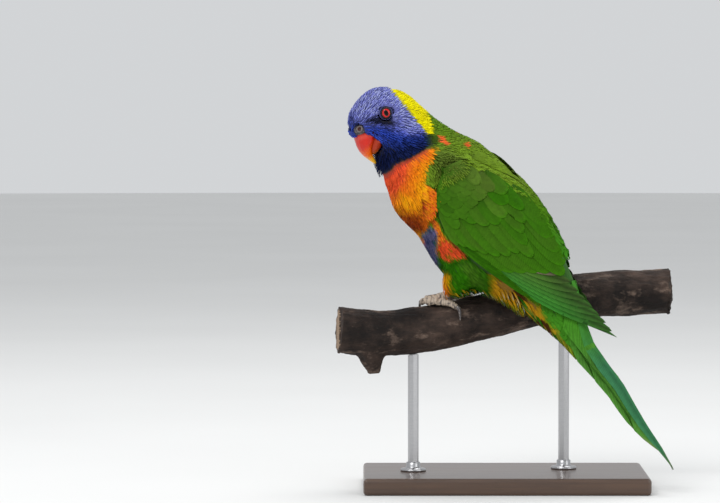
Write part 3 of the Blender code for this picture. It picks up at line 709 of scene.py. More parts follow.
LONG_TOPS = (-1, -0.55, -0.08, 0.08, 0.55, 1)
LONG_UNDERS = (0.5, -0.5)
PRIMARY = Vane(FLIGHT_SHARES, rounded(0.6, 0.6), [0] * 13, LONG_TOPS, LONG_UNDERS, 0.0, 0.22)
SECONDARY = Vane(FLIGHT_SHARES, rounded(0.62, 0.5), [0] * 13, LONG_TOPS, LONG_UNDERS, 0.0, 0.22)
RECTRIX = Vane(FLIGHT_SHARES, rounded(0.84, 0.6), [0] * 13, LONG_TOPS, LONG_UNDERS, 0.0, 0.25)


def shade(base, vane, root=0.45, edge=0.8, shaft=1.15, fringe=None, fringe_from=0.7, fringe_share=1.0):
    """Colours over feathers: from each one's own colour, with a dark root, an edge, a shaft and a fringe."""
    share = vane.shares[None, :, None, None]
    across = np.abs(vane.across)[None, None, :, None]
    level = root + (1 - root) * smoothstep(0.0, 0.55, share)
    level = level * (1 + (edge - 1) * across**2) * (1 + (shaft - 1) * np.maximum(1 - across * 2.5, 0))
    colours = base[:, None, None, :] * level
    if fringe is not None:
        reach = smoothstep(fringe_from, 1.0, share + 0.12 * across**2) * fringe_share
        colours = blend(colours, np.asarray(fringe)[..., None, None, :], reach)
    return np.clip(colours, 0.0, 1.0)


def feather_piece(name, rings, colours, roots, vane, finish, turned=False):
    widths = (vane.across + 1) / 2
    if turned:
        rings, colours, widths = rings[:, :, ::-1], colours[:, :, ::-1], widths[::-1]
    mesh = coat_mesh(name, rings, colours, roots, vane.shares, widths)
    return piece_of(name, mesh, finish)


def body_feathers(surface, roots, vane, lengths, widths, ways=None, tilt=0.0, lifts=1.0):
    """Rings of feathers rooted on a surface and lying along it, and the places of their tips."""
    _, normals = surface.nearest(roots)
    if ways is None:
        ways = lie(roots, normals)
    places, rises, headings = follow_skin(surface, roots, ways, lengths, vane.shares)
    sides = unit(np.cross(headings, rises))
    span = widths[:, None, None] * vane.profile[None, :, None] * vane.across[None, None, :]
    height = vane.lifts[None, :, None] * lifts - vane.thick * vane.under[None, None, :]
    height = height - vane.camber * widths[:, None, None] * vane.profile[None, :, None] * vane.across**2
    height = height + RANDOM.normal(0, 0.08 * MM, (len(roots), 1, 1)) * vane.shares[None, :, None]
    height = height + tilt * lengths[:, None, None] * vane.shares[None, :, None] ** 2
    rings = places[:, :, None] + sides[:, :, None] * span[..., None] + rises[:, :, None] * height[..., None]
    if vane.ragged:
        count = len(vane.across)
        fray = RANDOM.uniform(-1, 1, (len(roots), 1, count)) * vane.ragged * vane.shares[None, :, None] ** 3
        rings = rings + headings[:, :, None] * fray[..., None]
    reach = np.linalg.norm(places[:, -1] - places[:, 0], axis=1)
    sound = (dot(rises[:, 0], rises[:, -1])[:, 0] > 0.3) & (reach > 0.75 * lengths)
    return rings, places[:, -2], sound


def wing_edges(lengths):
    """Where the folded wing's lower and upper edges lie at lengths along it."""
    low = np.interp(lengths, WING_LOW[:, 0], WING_LOW[:, 1])
    high = np.interp(lengths, WING_HIGH[:, 0], WING_HIGH[:, 1])
    return low, high


def wing_place(seen):
    """How far along the folded wing each view place lies, and how far above its lower and its upper edge."""
    away = seen - WING_BEND
    length = away[:, 0] * math.cos(WING_SLOPE) - away[:, 1] * math.sin(WING_SLOPE)
    height = away[:, 0] * math.sin(WING_SLOPE) + away[:, 1] * math.cos(WING_SLOPE)
    low, high = wing_edges(length)
    return length, height - low, height - high


def under_wing(points):
    """Which points the folded wing hides, on either side."""
    length, over_low, over_high = wing_place(near_view(points))
    return (length > -1.0) & (length < 136.0) & (over_low > 0.6) & (over_high < -0.6)


BODY_SIDE = np.array([-math.sin(BODY_TURN), math.cos(BODY_TURN), 0.0])
BODY_BACK = np.array([math.cos(BODY_TURN), math.sin(BODY_TURN), 0.0])
MIRROR_AT = FOOT_X * BODY_SIDE[0]


def mirrored(points):
    """Points on the bird's other side."""
    return points - 2 * ((points @ BODY_SIDE)[..., None] - MIRROR_AT) * BODY_SIDE


# Wing: its bend, its slope down to the tail, and the far wing's shorter reach
WING_BEND = (-42.6, 178.8)
WING_SLOPE = math.radians(37.4)
WING_LENGTH = 138.0
FAR_TUCK = 9.0
CHART_STEP = 2.0
WING_LOW = np.array([(-4, 13), (0, 1), (8, -9), (22, -17.9), (46.6, -19.4), (76, -18.2), (105.7, -12.7),
                     (138, -3.6)])
WING_HIGH = np.array([(-4, 14.5), (0, 25), (17.6, 29.5), (41.8, 33.4), (64.8, 27), (92.8, 15.1),
                      (114.6, 4.2), (138, -3)])


class WingChart:
    """The near wing's outer face, as depths over a plane that faces the camera, smoothed."""

    def __init__(self, surface):
        self.lengths = np.arange(-12.0, 150.0, CHART_STEP)
        self.heights = np.arange(-30.0, 46.0, CHART_STEP)
        depths = np.zeros((len(self.lengths), len(self.heights)))
        for i, length in enumerate(self.lengths):
            for j, height in enumerate(self.heights):
                x, z = self.plane(length, height)
                hit, _, _, _ = surface.tree.ray_cast(Vector((x, -0.3, z)), Vector((0, 1, 0)))
                if hit is None:
                    hit = surface.tree.find_nearest(Vector((x, -0.04, z)))[0]
                depths[i, j] = hit.y
        for _ in range(3):
            padded = np.pad(depths, 1, mode="edge")
            depths = (padded[:-2, 1:-1] + padded[2:, 1:-1] + padded[1:-1, :-2] + padded[1:-1, 2:]
                      + 2 * depths) / 6
        self.depths = depths

    def plane(self, length, height):
        x = WING_BEND[0] + length * math.cos(WING_SLOPE) + height * math.sin(WING_SLOPE)
        z = WING_BEND[1] - length * math.sin(WING_SLOPE) + height * math.cos(WING_SLOPE)
        return x * MM, z * MM

    def place(self, length, height):
        """Points of the outer face at lengths along the wing and heights across it."""
        i = np.clip((length - self.lengths[0]) / CHART_STEP, 0, len(self.lengths) - 1.001)
        j = np.clip((height - self.heights[0]) / CHART_STEP, 0, len(self.heights) - 1.001)
        a, b = i.astype(int), j.astype(int)
        u, v = i - a, j - b
        depth = (self.depths[a, b] * (1 - u) * (1 - v) + self.depths[a + 1, b] * u * (1 - v)
                 + self.depths[a, b + 1] * (1 - u) * v + self.depths[a + 1, b + 1] * u * v)
        x, z = self.plane(length, height)
        return np.stack([x, depth, z], axis=-1)

    def normal(self, length, height):
        along = self.place(length + CHART_STEP, height) - self.place(length - CHART_STEP, height)
        across = self.place(length, height + CHART_STEP) - self.place(length, height - CHART_STEP)
        return -unit(np.cross(across, along))


def wing_feathers(chart, rows, vane, far):
    """Rings of wing feathers. A row: root, tip, half width, bow, lift at the middle and tilt to the back."""
    rows = np.array(rows, float)
    root, tip = rows[:, 0:2], rows[:, 2:4]
    half, bow, lift, tilt = (rows[:, i][:, None, None] for i in range(4, 8))
    way = unit(tip - root)
    normal = np.stack([-way[:, 1], way[:, 0]], axis=1)
    share = vane.shares[None, :, None]
    centre = root[:, None] + (tip - root)[:, None] * share + normal[:, None] * bow * (share * (1 - share)) * 4
    off = half * vane.profile[None, :, None] * vane.across[None, None, :]
    chart_at = centre[:, :, None] + normal[:, None, None] * off[..., None]
    if vane.ragged:
        fray = RANDOM.uniform(-1, 1, (len(rows), 1, len(vane.across))) * vane.ragged / MM * share**3
        chart_at = chart_at + way[:, None, None] * fray[..., None]
    lengths, heights = chart_at[..., 0], chart_at[..., 1]
    bottom, top = wing_edges(lengths)
    margin = 2.2 if far else 0.4
    heights = np.clip(heights, bottom + 0.7, np.maximum(top - margin, bottom + 0.9))
    if far:
        lengths = np.where(lengths > 0, lengths * (1 - FAR_TUCK / WING_LENGTH), lengths)
    crown = 0.08 * (1 - vane.across[None, None, :] ** 2)
    rise = lift - tilt * vane.across[None, None, :] * vane.profile[None, :, None] + crown
    rise = rise * MM + vane.lifts[None, :, None] - vane.thick * vane.under[None, None, :]
    points = chart.place(lengths, heights)
    rings = points + chart.normal(lengths, heights) * rise[..., None]
    roots = points[:, 0, 0]
    if far:
        rings = mirrored(rings)
        roots = mirrored(roots)
    return rings, roots


def spread(first, last, count):
    """Evenly spaced steps between two rows of numbers."""
    return blend(first, last, np.linspace(0, 1, count)[:, None])


# Wing feathers: where each row's roots and tips lie, along the wing and across it, in millimetres
PRIMARY_TIPS = [(138, -3.5), (133, -1.8), (127, -0.2), (121, 0.9), (115, 2.1), (109, 3.4), (103, 4.8),
                (96, 6.4), (89, 7.6)]
SECONDARY_ENDS = [((24, -12), (60, -12.5)), ((28, -7), (66, -8.5)), ((32, -2), (71.5, -4.8)),
                  ((36, 3), (77, -0.6)), ((40, 8), (82.5, 3.2)), ((46, 14), (90.5, 7.5)),
                  ((48, 20), (87, 12.2)), ((45, 25), (80, 16.5)), ((40, 29), (72, 20.5)),
                  ((34, 31), (65, 25))]
GREATER_ENDS = [((-1, -3), (30, -17)), ((2, -1), (35, -14.5)), ((6, -1), (41, -12.5)), ((12, 0), (47, -10)),
                ((18, 1), (53, -7)), ((23, 5), (58, -3)), ((27, 10), (61, 1.5)), ((33, 14), (69, 4.5)),
                ((27, 18), (62, 8)), ((22, 23), (56, 12.5)), ((20, 27), (53, 17.5)), ((17, 29), (48, 23))]
MEDIAN_ENDS = [((-3, 4), (12, -3)), ((4, 5), (20.5, -1)), ((12, 6), (30.5, 0.5)), ((18, 9.5), (37, 3.5)),
               ((23, 14), (41.5, 8)), ((24, 19), (42, 13.5)), ((21, 24), (38, 19.5)), ((16, 27), (34, 25))]


# The primaries' colours, from the innermost out to the first, and how many rows the lesser coverts have
PRIMARY_INNER = (0.021, 0.112, 0.013)
PRIMARY_OUTER = (0.046, 0.098, 0.015)
FIRST_PRIMARY = (0.10, 0.085, 0.055)
COVERT_ROWS = 4


def wing_pieces(chart, hand, far, finish):
    """Every feather of one wing, from the longest, lowest ones to the small ones over its bend."""
    green = np.array(WING)

    def add(label, rows, vane, base, **marks):
        rings, roots = wing_feathers(chart, rows, vane, far)
        colours = shade(base * RANDOM.normal(1, 0.07, (len(base), 1)), vane, **marks)
        feather_piece(f"wing_{label}_{hand}", rings, colours, roots, vane, finish, far)

    def tier(label, vane, ends, half, lifts, tilt, tone, warmth):
        """One tier of large feathers, each lying a little higher than the one below it."""
        rises = np.linspace(*lifts, len(ends))
        rows = [(*root, *tip, half, -0.6, rise, tilt) for (root, tip), rise in zip(ends, rises)]
        olive = warmth * RANDOM.random((len(ends), 1))
        base = blend(np.tile(green * tone, (len(ends), 1)), OLIVE, olive)
        add(label, rows, vane, base, edge=1.05, shaft=0.9, root=0.7, fringe=green * 1.5, fringe_from=0.9,
            fringe_share=0.5)

    count = len(PRIMARY_TIPS)
    roots = spread((40, -18.5), (46, -4), count)
    lifts = np.linspace(-1, -0.6, count)
    rows = [(*root, *tip, 4.0, -2.0, lift, 0.5) for root, tip, lift in zip(roots, PRIMARY_TIPS, lifts)]
    outward = np.linspace(0, 1, count)[:, None]
    base = blend(PRIMARY_INNER, PRIMARY_OUTER, outward**2)
    base[-1] = FIRST_PRIMARY
    add("primaries", rows, PRIMARY, base, edge=1.9, shaft=0.5, root=0.9, fringe=DUSK, fringe_from=0.7,
        fringe_share=0.5)
    roots = spread((18, -15.5), (58, -18.5), count)
    rows = [(*root, root[0] + 34, root[1] + 1.6 + 0.1 * i, 1.5, -0.4, -0.3, 0.3)
            for i, root in enumerate(roots)]
    add("primary_coverts", rows, SMOOTH, np.tile(green * 0.8, (count, 1)), edge=1.2, shaft=0.8, root=0.8)
    tier("secondaries", SECONDARY, SECONDARY_ENDS, 5.4, (-0.25, 0.1), 0.3, 1.0, 0.2)
    tier("greater_coverts", SLEEK, GREATER_ENDS, 4.4, (0.2, 0.5), 0.3, 1.0, 0.3)
    tier("median_coverts", SLEEK, MEDIAN_ENDS, 4.8, (0.55, 0.75), 0.2, 0.97, 0.35)
    for k in range(COVERT_ROWS):
        count = 8 + (k < 2) * 2
        roots = spread((9.0 - 5.0 * k, -4.0 + 0.8 * k), (14.0 - 6.0 * k, 25.0 - 0.6 * k), count)
        roots = roots + RANDOM.normal(0, 0.8, (count, 2))
        reach = RANDOM.uniform(11.0, 14.5, count) - k
        halves = RANDOM.uniform(3.1, 4.2, count) - 0.2 * k
        rows = [(*root, root[0] + long, root[1] - 3.6 + 0.5 * k, half, 0.0, 0.70 + 0.08 * k + 0.02 * i, 0.2)
                for i, (root, long, half) in enumerate(zip(roots, reach, halves))]
        olive = 0.15 + 0.5 * np.linspace(0, 1, count)[:, None] ** 2
        base = blend(np.tile(green, (count, 1)), OLIVE, olive)
        add(f"lesser_coverts_{k + 1}", rows, SLEEK, base, edge=1.05, shaft=1.0, root=0.75)


# The lower border of the feathers that fold over the wing's top, as the camera sees it: x and height
FOLD = np.array([(-27, 198.6), (-19.2, 196.6), (-9, 191.6), (-0.6, 188.8), (7.2, 183.6), (13.2, 177.4),
                 (17.4, 172.5)])
FOLD_START = 0.12
FOLD_COUNT = 20
# How far above that border each row of them lies, in millimetres, and the share of it where the row ends
FOLD_ROWS = ((2.0, 0.58), (4.2, 0.40))


def fold_piece(hull, finish):
    """Feathers that lie along the fold above each wing, each one over the next."""
    marks = np.linspace(0, 1, len(FOLD))
    for hand, far in (("left", False), ("right", True)):
        for row, (out, last) in enumerate(FOLD_ROWS):
            steps = np.linspace(FOLD_START, last, FOLD_COUNT)
            line = read_off(steps, marks, FOLD)
            ahead = read_off(np.minimum(steps + 0.14, 1), marks, FOLD)
            way = unit(ahead - line)
            inset = out * (1 - 0.5 * steps[:, None] ** 2)
            spots = line + np.stack([-way[:, 1], way[:, 0]], axis=1) * inset
            spots = spots + RANDOM.normal(0, 0.25, line.shape)
            roots = []
            for x, z in spots * MM:
                hit = hull.tree.ray_cast(Vector((x, -0.3, z)), Vector((0, 1, 0)))[0]
                roots.append(hit or hull.tree.find_nearest(Vector((x, -0.03, z)))[0])
            roots = np.array(roots)
            ways = np.stack([way[:, 0], np.full(len(way), 0.25), way[:, 1]], axis=1)
            lengths = RANDOM.uniform(7.5, 9.5, len(roots)) * MM
            widths = RANDOM.uniform(1.4, 1.9, len(roots)) * MM
            rings, _, _ = body_feathers(hull, roots, SLEEK, lengths, widths, ways)
            rings = rings + np.array((0, -0.9 + 0.2 * row, 0.3)) * MM
            # Dimmed below their markings by a random share: painted shade to match the shaded mantle round
            # them
            base = markings(roots) * RANDOM.uniform(0.72, 0.92, (len(roots), 1))
            if far:
                rings, roots = mirrored(rings), mirrored(roots)
            colours = shade(base, SLEEK, root=0.75, edge=1.05, shaft=0.95)
            label = f"fold_feathers_{row + 1}_{hand}"
            feather_piece(label, rings, colours, roots, SLEEK, finish, far)


# Tail: its middle line and how far along it each pair of feathers reaches, middle pair first
TAIL_LINE = np.array([(20.4, 121.9), (28.6, 111.7), (37.4, 98.2), (48.0, 85.0), (55.4, 78.4), (66.6, 65.9),
                      (78.3, 45.6), (88.9, 29.8), (98.0, 15.4)])
TAIL_REACH = (1.0, 0.91, 0.85, 0.77, 0.68, 0.58)
TAIL_HALF = np.array([(0, 10.4), (24, 9.8), (42, 9.2), (52, 8.7), (69, 7.6), (92, 6.1), (111, 3.6),
                      (128, 0.9)])
TAIL_RAISE = math.radians(33.0)
WORN_TIP = (0.20, 0.22, 0.10)


class TailChart:
    """The tail's upper face: places along its middle line and off it to one side."""

    def __init__(self, surface):
        self.surface = surface
        steps = np.linalg.norm(np.diff(TAIL_LINE, axis=0), axis=1)
        self.marks = np.concatenate([[0], np.cumsum(steps)])
        self.length = self.marks[-1]
        self.deep = BODY_BACK * math.cos(TAIL_RAISE) + np.array([0, 0, math.sin(TAIL_RAISE)])

    def middle(self, along):
        """Points of the tail's middle line."""
        x = np.interp(along, self.marks, TAIL_LINE[:, 0]) * MM
        z = np.interp(along, self.marks, TAIL_LINE[:, 1]) * MM
        y = (x - FOOT_X) * math.tan(BODY_TURN)
        return np.stack([x, y, z], axis=-1)

    def place(self, along, off):
        """Points of the upper face at lengths along the tail and distances off its middle line."""
        points = self.middle(along) + BODY_SIDE * (off * MM)[..., None]
        flat = points.reshape(-1, 3)
        out = flat.copy()
        for i, point in enumerate(flat):
            start = Vector(point + self.deep * 0.04)
            hit, _, _, _ = self.surface.tree.ray_cast(start, Vector(-self.deep), 0.07)
            if hit is None:
                near = self.surface.tree.find_nearest(Vector(point))[0]
                hit = Vector(point) + Vector(self.deep) * (near - Vector(point)).dot(Vector(self.deep))
            out[i] = hit
        return out.reshape(points.shape)


def tail_piece(chart, finish):
    """Both halves of the tail: six pairs of long feathers, each lying under the one nearer the middle."""
    vane = RECTRIX
    for hand, sign in (("left", -1.0), ("right", 1.0)):
        rings = []
        bases = []
        for k, reach in enumerate(TAIL_REACH):
            start = 8.0 + 1.5 * k
            along = start + (chart.length * reach - start) * vane.shares
            half = np.interp(along, TAIL_HALF[:, 0], TAIL_HALF[:, 1])
            middle = half * 0.20 + 0.5 if k == 0 else half * (0.56 - 0.015 * k)
            wide = half * (0.34 if k == 0 else 0.50 - 0.02 * k) + 0.25
            off = middle[:, None] + wide[:, None] * vane.profile[:, None] * vane.across[None, :]
            off = sign * np.maximum(off, -0.5)
            tops = chart.place(np.repeat(along[:, None], len(vane.across), axis=1), off)
            lift = -0.1 - 0.3 * k - 0.25 * vane.under[None, :]
            rings.append(tops + chart.deep * (lift * MM)[..., None])
            tone = np.array(TEAL) if k == 0 else np.array(TAIL_GREEN) * (1.0 - 0.07 * (k - 1))
            bases.append(tone)
        rings = np.array(rings)
        colours = shade(np.array(bases), vane, edge=1.25, shaft=0.72, root=0.95, fringe=WORN_TIP,
                        fringe_from=0.95, fringe_share=0.6)
        at_root = smoothstep(0.42, 0.2, vane.shares)[None, :, None, None]
        colours = blend(colours, RUMP, at_root * 0.85)
        feather_piece(f"tail_{hand}", rings, colours, rings[:, 0, 0], vane, finish, sign < 0)


FLESH = ["head", "neck", "trunk", "tail", "wing_left", "wing_right", "thigh_left", "thigh_right"]
COAT_DEPTH = 1.3 * MM
SKIN_JOIN = 0.9 * MM
SKIN_GRAIN = 1.1 * MM
# The wings and the tail leave the skin where they get too thin for it
WING_CUT = 0.088
TAIL_CUT = Vector((0.040, 0.0, 0.0985)) + Vector((0.018, 0, -0.022))
TAIL_CUT_WAY = Vector((0.6, -0.2, -0.75))


def joined(names, grown=0.0, cut=None):
    """CAD nodes' merged meshes, grown, as one bmesh. Cut keeps what lies behind a plane."""
    whole = bmesh.new()
    for name in names:
        part = node_mesh(name)
        if cut is not None and name in cut:
            point, normal = cut[name]
            geometry = part.verts[:] + part.edges[:] + part.faces[:]
            bmesh.ops.bisect_plane(part, geom=geometry, plane_co=point, plane_no=normal, clear_outer=True)
            bmesh.ops.holes_fill(part, edges=[edge for edge in part.edges if edge.is_boundary])
        if grown:
            pushed(part, grown)
        absorb(whole, part)
    whole.normal_update()
    return whole


def clear_of_face(bm):
    """Sink the skin that covers the cere's sides, so that the cere stands out of it."""
    cere = Surface(mesh_from(joined(["cere"], -0.2 * MM), "cere_room"))
    middle = Vector(head_point(6.0, 1.0, 0.0))
    across = head_frame()[2]
    for vert in bm.verts:
        way = middle - vert.co
        if way.length > 0.03 or abs(way.dot(across)) < 3.5 * MM:
            continue
        way.normalize()
        hit, _, _, _ = cere.tree.ray_cast(vert.co, way, 5.0 * MM)
        if hit is not None:
            vert.co = hit + way * 1.5 * MM
    bm.normal_update()


def make_skin(finish):
    """One even skin over head, neck, body, legs and wings, a coat's depth inside them."""
    down_wing = Vector((math.cos(WING_SLOPE), 0.0, -math.sin(WING_SLOPE)))
    wing_end = Vector((WING_BEND[0] * MM, 0.0, WING_BEND[1] * MM)) + down_wing * WING_CUT
    cut = {"tail": (TAIL_CUT, TAIL_CUT_WAY),
           "wing_left": (wing_end, down_wing), "wing_right": (wing_end, down_wing)}
    bm = remeshed(joined(FLESH, SKIN_JOIN, cut), SKIN_GRAIN * 0.8, 3)
    pushed(bm, -(SKIN_JOIN + COAT_DEPTH) / 2)
    smoothed(bm)
    pushed(bm, -(SKIN_JOIN + COAT_DEPTH) / 2)
    bm = remeshed(bm, SKIN_GRAIN, 3)
    clear_of_face(bm)
    mesh = mesh_from(bm, "skin")
    # The markings at 0.55 of their strength: partly the down's duller tone, partly painted shade of the coat
    # over the skin
    colour_points(mesh, markings(mesh_points(mesh)) * 0.55)
    skin = piece_of("skin", mesh, finish)
    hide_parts(*FLESH)
    return skin


def node_middle(name):
    low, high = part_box(name)
    return (np.array(low) + np.array(high)) / 2


class Region:
    """Where points of the skin lie: along the bird, in the camera's view, in the hood or on the front."""

    def __init__(self, points):
        self.share, _, _ = along_spine(points)
        self.seen = near_view(points)
        self.x = self.seen[:, 0]
        self.z = self.seen[:, 1]
        self.hood = (inside(self.seen, HOOD)[:, 0] > 0.35) & (self.share < 0.26)
        front = sum(inside(self.seen, zone)[:, 0] for zone in (BREAST, BELLY, CORAL)) > 0.3
        self.front = front & ~self.hood
        self.below_tail = self.z < 113.0 - (self.x - 12.0) * 1.02

    def within(self, outline):
        return inside(self.seen, outline)[:, 0] > 0.5

    def on_back(self):
        upper = (self.share >= 0.25) | (self.z <= 196)
        return ~self.hood & ~self.front & upper & (self.z > 152 - self.x * 0.4)

    def on_underside(self):
        return ~self.front & (self.share > 0.3) & (self.share < 0.74) & (self.z <= 152 - self.x * 0.4)


# How far feathers stay from the middle of each eye, in millimetres
EYE_ROOM = 4.35


class Coat:
    """The small feathers of head, neck, breast, belly, back and rump, grown piece by piece."""

    def __init__(self, skin, hull, wings, face, finish):
        self.skin = skin
        self.hull = hull
        self.wings = wings
        self.face = face
        self.finish = finish
        self.eyes = [node_middle(name) for name in ("eye_left", "eye_right")]

    def eye_gap(self, points):
        """How far points are from the nearer eyelid."""
        gaps = [np.linalg.norm(points - eye, axis=1) for eye in self.eyes]
        return np.min(gaps, axis=0) - EYE_ROOM * MM

    def off_face(self, points):
        """Nought at the bill and the eyes, one well away from them."""
        return smoothstep(0.3 * MM, 11 * MM, np.minimum(self.face.gaps(points), self.eye_gap(points)))

    def grow(self, label, vane, seed, spacing, keep, length, width, slot, clear=0.0, on_hull=False, way=None,
             tilt=0.0, lift=1.0, low=0.85, paint=None, hood=False, **marks):
        """One joined coat piece, rooted where keep says, on the skin or on the hull over it.

        Length, width and lift may be numbers, in millimetres but for lift, or functions of the roots. Clear
        is how far the roots stay off the wings, with the feathers shortened where they would lie over them.
        Low is the darkest feather's share of its own colour, and paint gives the colours of bodies and tips.
        """
        surface = self.hull if on_hull else self.skin
        roots = scatter(surface.mesh, spacing * MM, lambda points: keep(Region(points)).astype(float), seed)
        for wing in self.wings if clear else ():
            roots = roots[wing.gaps(roots) > clear * MM]
        if hood:
            roots = roots[(self.face.gaps(roots) > 0.3 * MM) & (self.eye_gap(roots) > -0.1 * MM)]
        lengths, widths = (size(roots) if callable(size) else np.full(len(roots), size)
                           for size in (length, width))
        lifts = lift(roots)[:, None, None] if callable(lift) else lift
        lengths = lengths * MM * RANDOM.uniform(0.85, 1.15, len(roots))
        widths = widths * MM
        ways = None if way is None else np.tile(way, (len(roots), 1))
        rings, tips, held = body_feathers(surface, roots, vane, lengths, widths, ways, tilt, lifts)
        if clear:
            for cut in (0.5, 0.6):
                lengths = np.where(under_wing(tips), lengths * cut, lengths)
                rings, tips, held = body_feathers(surface, roots, vane, lengths, widths, ways, tilt, lifts)
            held = held & ~under_wing(tips)
        if hood:
            held = held & (inside(near_view(tips), HOOD)[:, 0] > 0.15)
        rings, tips, roots = rings[held], tips[held], roots[held]
        base = markings(tips * 0.65 + roots * 0.35, 0.35) * RANDOM.uniform(low, 2 - low, (len(roots), 1))
        if paint is not None:
            base, marks["fringe"] = paint(roots, base)
        colours = shade(base, vane, **marks)
        feather_piece(label, rings, colours, roots, vane, self.finish)


def head_coat(coat):
    """Narrow, pale-shafted hackles over the hood, shortest at the bill and the eyes, and the collar."""

    def hood_length(points):
        return 2.4 + 3.6 * coat.off_face(points) + 2.2 * smoothstep(0.208, 0.198, points[:, 2])

    def hood_width(points):
        return 0.32 + 0.26 * coat.off_face(points)

    def hood_lift(points):
        chin = smoothstep(0.208, 0.199, points[:, 2])
        return 0.35 + np.maximum(0.65 * coat.off_face(points), 1.7 * chin)

    for half in (0, 1):
        coat.grow(f"head_feathers_{half + 1}", HACKLE, 3 + half, 1.05, lambda at: at.hood, hood_length,
                  hood_width, "head_feathers", clear=0.5, tilt=0.06, lift=hood_lift, low=0.45, hood=True,
                  root=0.15, edge=0.3, shaft=1.9)
    coat.grow("collar_feathers", WISP, 5, 0.9,
              lambda at: ~at.hood & ~at.front & (at.share < 0.27) & (at.z > 196), 5.0, 0.6, "collar_feathers",
              clear=1.0, low=0.9, root=0.7, edge=0.92, shaft=1.12)


def breast_tips(roots, base):
    """Warm feathers end in amber, the rest in a little lighter shade of their own."""
    seen = near_view(roots)
    x, z = seen[:, 0:1], seen[:, 1:2]
    warm = base[:, :1] > base[:, 1:2] * 1.6
    share = 0.1 + 0.8 * smoothstep(185.0, 175.0, z) * RANDOM.random((len(roots), 1)) ** 0.5
    low = smoothstep(172.0, 169.5, z) * smoothstep(156.0, 160.0, z)
    share = share * (1 - low * smoothstep(-43.0, -47.0, x) * 0.9)
    return base, np.where(warm & (z > 152), blend(base, AMBER, share), base * 1.2)


def breast_length(points):
    z = near_view(points)[:, 1]
    return 6.5 + 3.5 * smoothstep(168.0, 171.0, z) * smoothstep(180.0, 176.0, z)


def lobe_tips(roots, base):
    """The tuft over the wing's bend is red at its roots and yellow at its tips."""
    warm = blend(SCARLET, ORANGE, RANDOM.random((len(roots), 1)))
    warm = warm * RANDOM.uniform(0.8, 1.1, (len(roots), 1))
    edge = smoothstep(-51.0, -46.5, near_view(roots)[:, 0:1] + RANDOM.normal(0, 0.8, (len(roots), 1)))
    return blend(base, warm, edge), blend(warm, AMBER, 0.2 + 0.8 * RANDOM.random((len(roots), 1)))


def breast_coat(coat):
    """Wispy feathers over the breast, belly and flank, and the tuft that hangs over the wing's bend."""
    marks = {"paint": breast_tips, "edge": 0.8, "shaft": 1.2, "fringe_from": 0.5, "fringe_share": 0.9}
    for half in (0, 1):
        coat.grow(f"breast_feathers_{half + 1}", WISP, 7 + half, 1.1, lambda at: at.front, breast_length, 0.5,
                  "breast_feathers", clear=0.5, tilt=0.02, low=0.78, root=0.7, **marks)
    marks["paint"] = lobe_tips
    coat.grow("breast_lobe_feathers", WISP, 9, 0.8, lambda at: at.within(LOBE), 6.5, 0.5, "breast_feathers",
              on_hull=True, way=BODY_BACK * 0.9 - np.array((0, 0, 0.45)), tilt=0.06, low=0.78, root=0.8,
              **marks)


def near_lift(points):
    """The tuft at the shoulder stands higher over the near wing than over the far one."""
    return np.where(points[:, 1] < 0, 2.3, 0.9)


def over_wing(at):
    """A strip along each wing's upper edge."""
    length, _, over_high = wing_place(at.seen)
    strip = (over_high > -1.5) & (over_high < 3.5)
    return (length > -2.0) & (length < 82.0) & strip & (at.share > 0.24)


def back_coat(coat):
    """The tuft at the shoulder, the broad feathers of the mantle and the wisps over the wings' edges."""
    coat.grow("shoulder_feathers", WISP, 10, 0.95, lambda at: at.within(FLUFF), 7.0, 0.6, "wing_feathers",
              on_hull=True, tilt=0.05, lift=near_lift, low=0.82, root=0.7, edge=0.85, shaft=1.15)
    coat.grow("mantle_feathers", SOFT, 11, 1.9, Region.on_back, 10.5, 2.2, "wing_feathers", clear=1.0,
              low=0.88, root=0.75, edge=0.92, shaft=1.06)
    coat.grow("ridge_feathers", WISP, 12, 0.95, over_wing, 7.5, 0.75, "wing_feathers", on_hull=True, lift=0.5,
              low=0.9, root=0.9, edge=0.95, shaft=1.06)


def hem_tips(roots, base):
    """The hem over the perch mixes green, ochre and pale down."""
    chance = RANDOM.random((len(roots), 1))
    base = np.where(chance < 0.25, blend(base, OCHRE, 0.6), base)
    return base, np.where(chance > 0.75, DOWN, base * 1.4)


def vent_tips(roots, base):
    """Undertail coverts turn from brown through ochre to green, each one in its own way."""
    chance = RANDOM.random((len(roots), 1))
    warm = base[:, :1] > base[:, 1:2]
    base = np.where(warm & (chance < 0.4), BROWN, base)
    base = np.where(warm & (chance > 0.75), THIGH, base)
    tips = np.where(RANDOM.random((len(roots), 1)) < 0.5, VENT_GREEN, base * 1.1)
    return base, np.where(chance < 0.25, np.array(BROWN) * 1.5, tips)


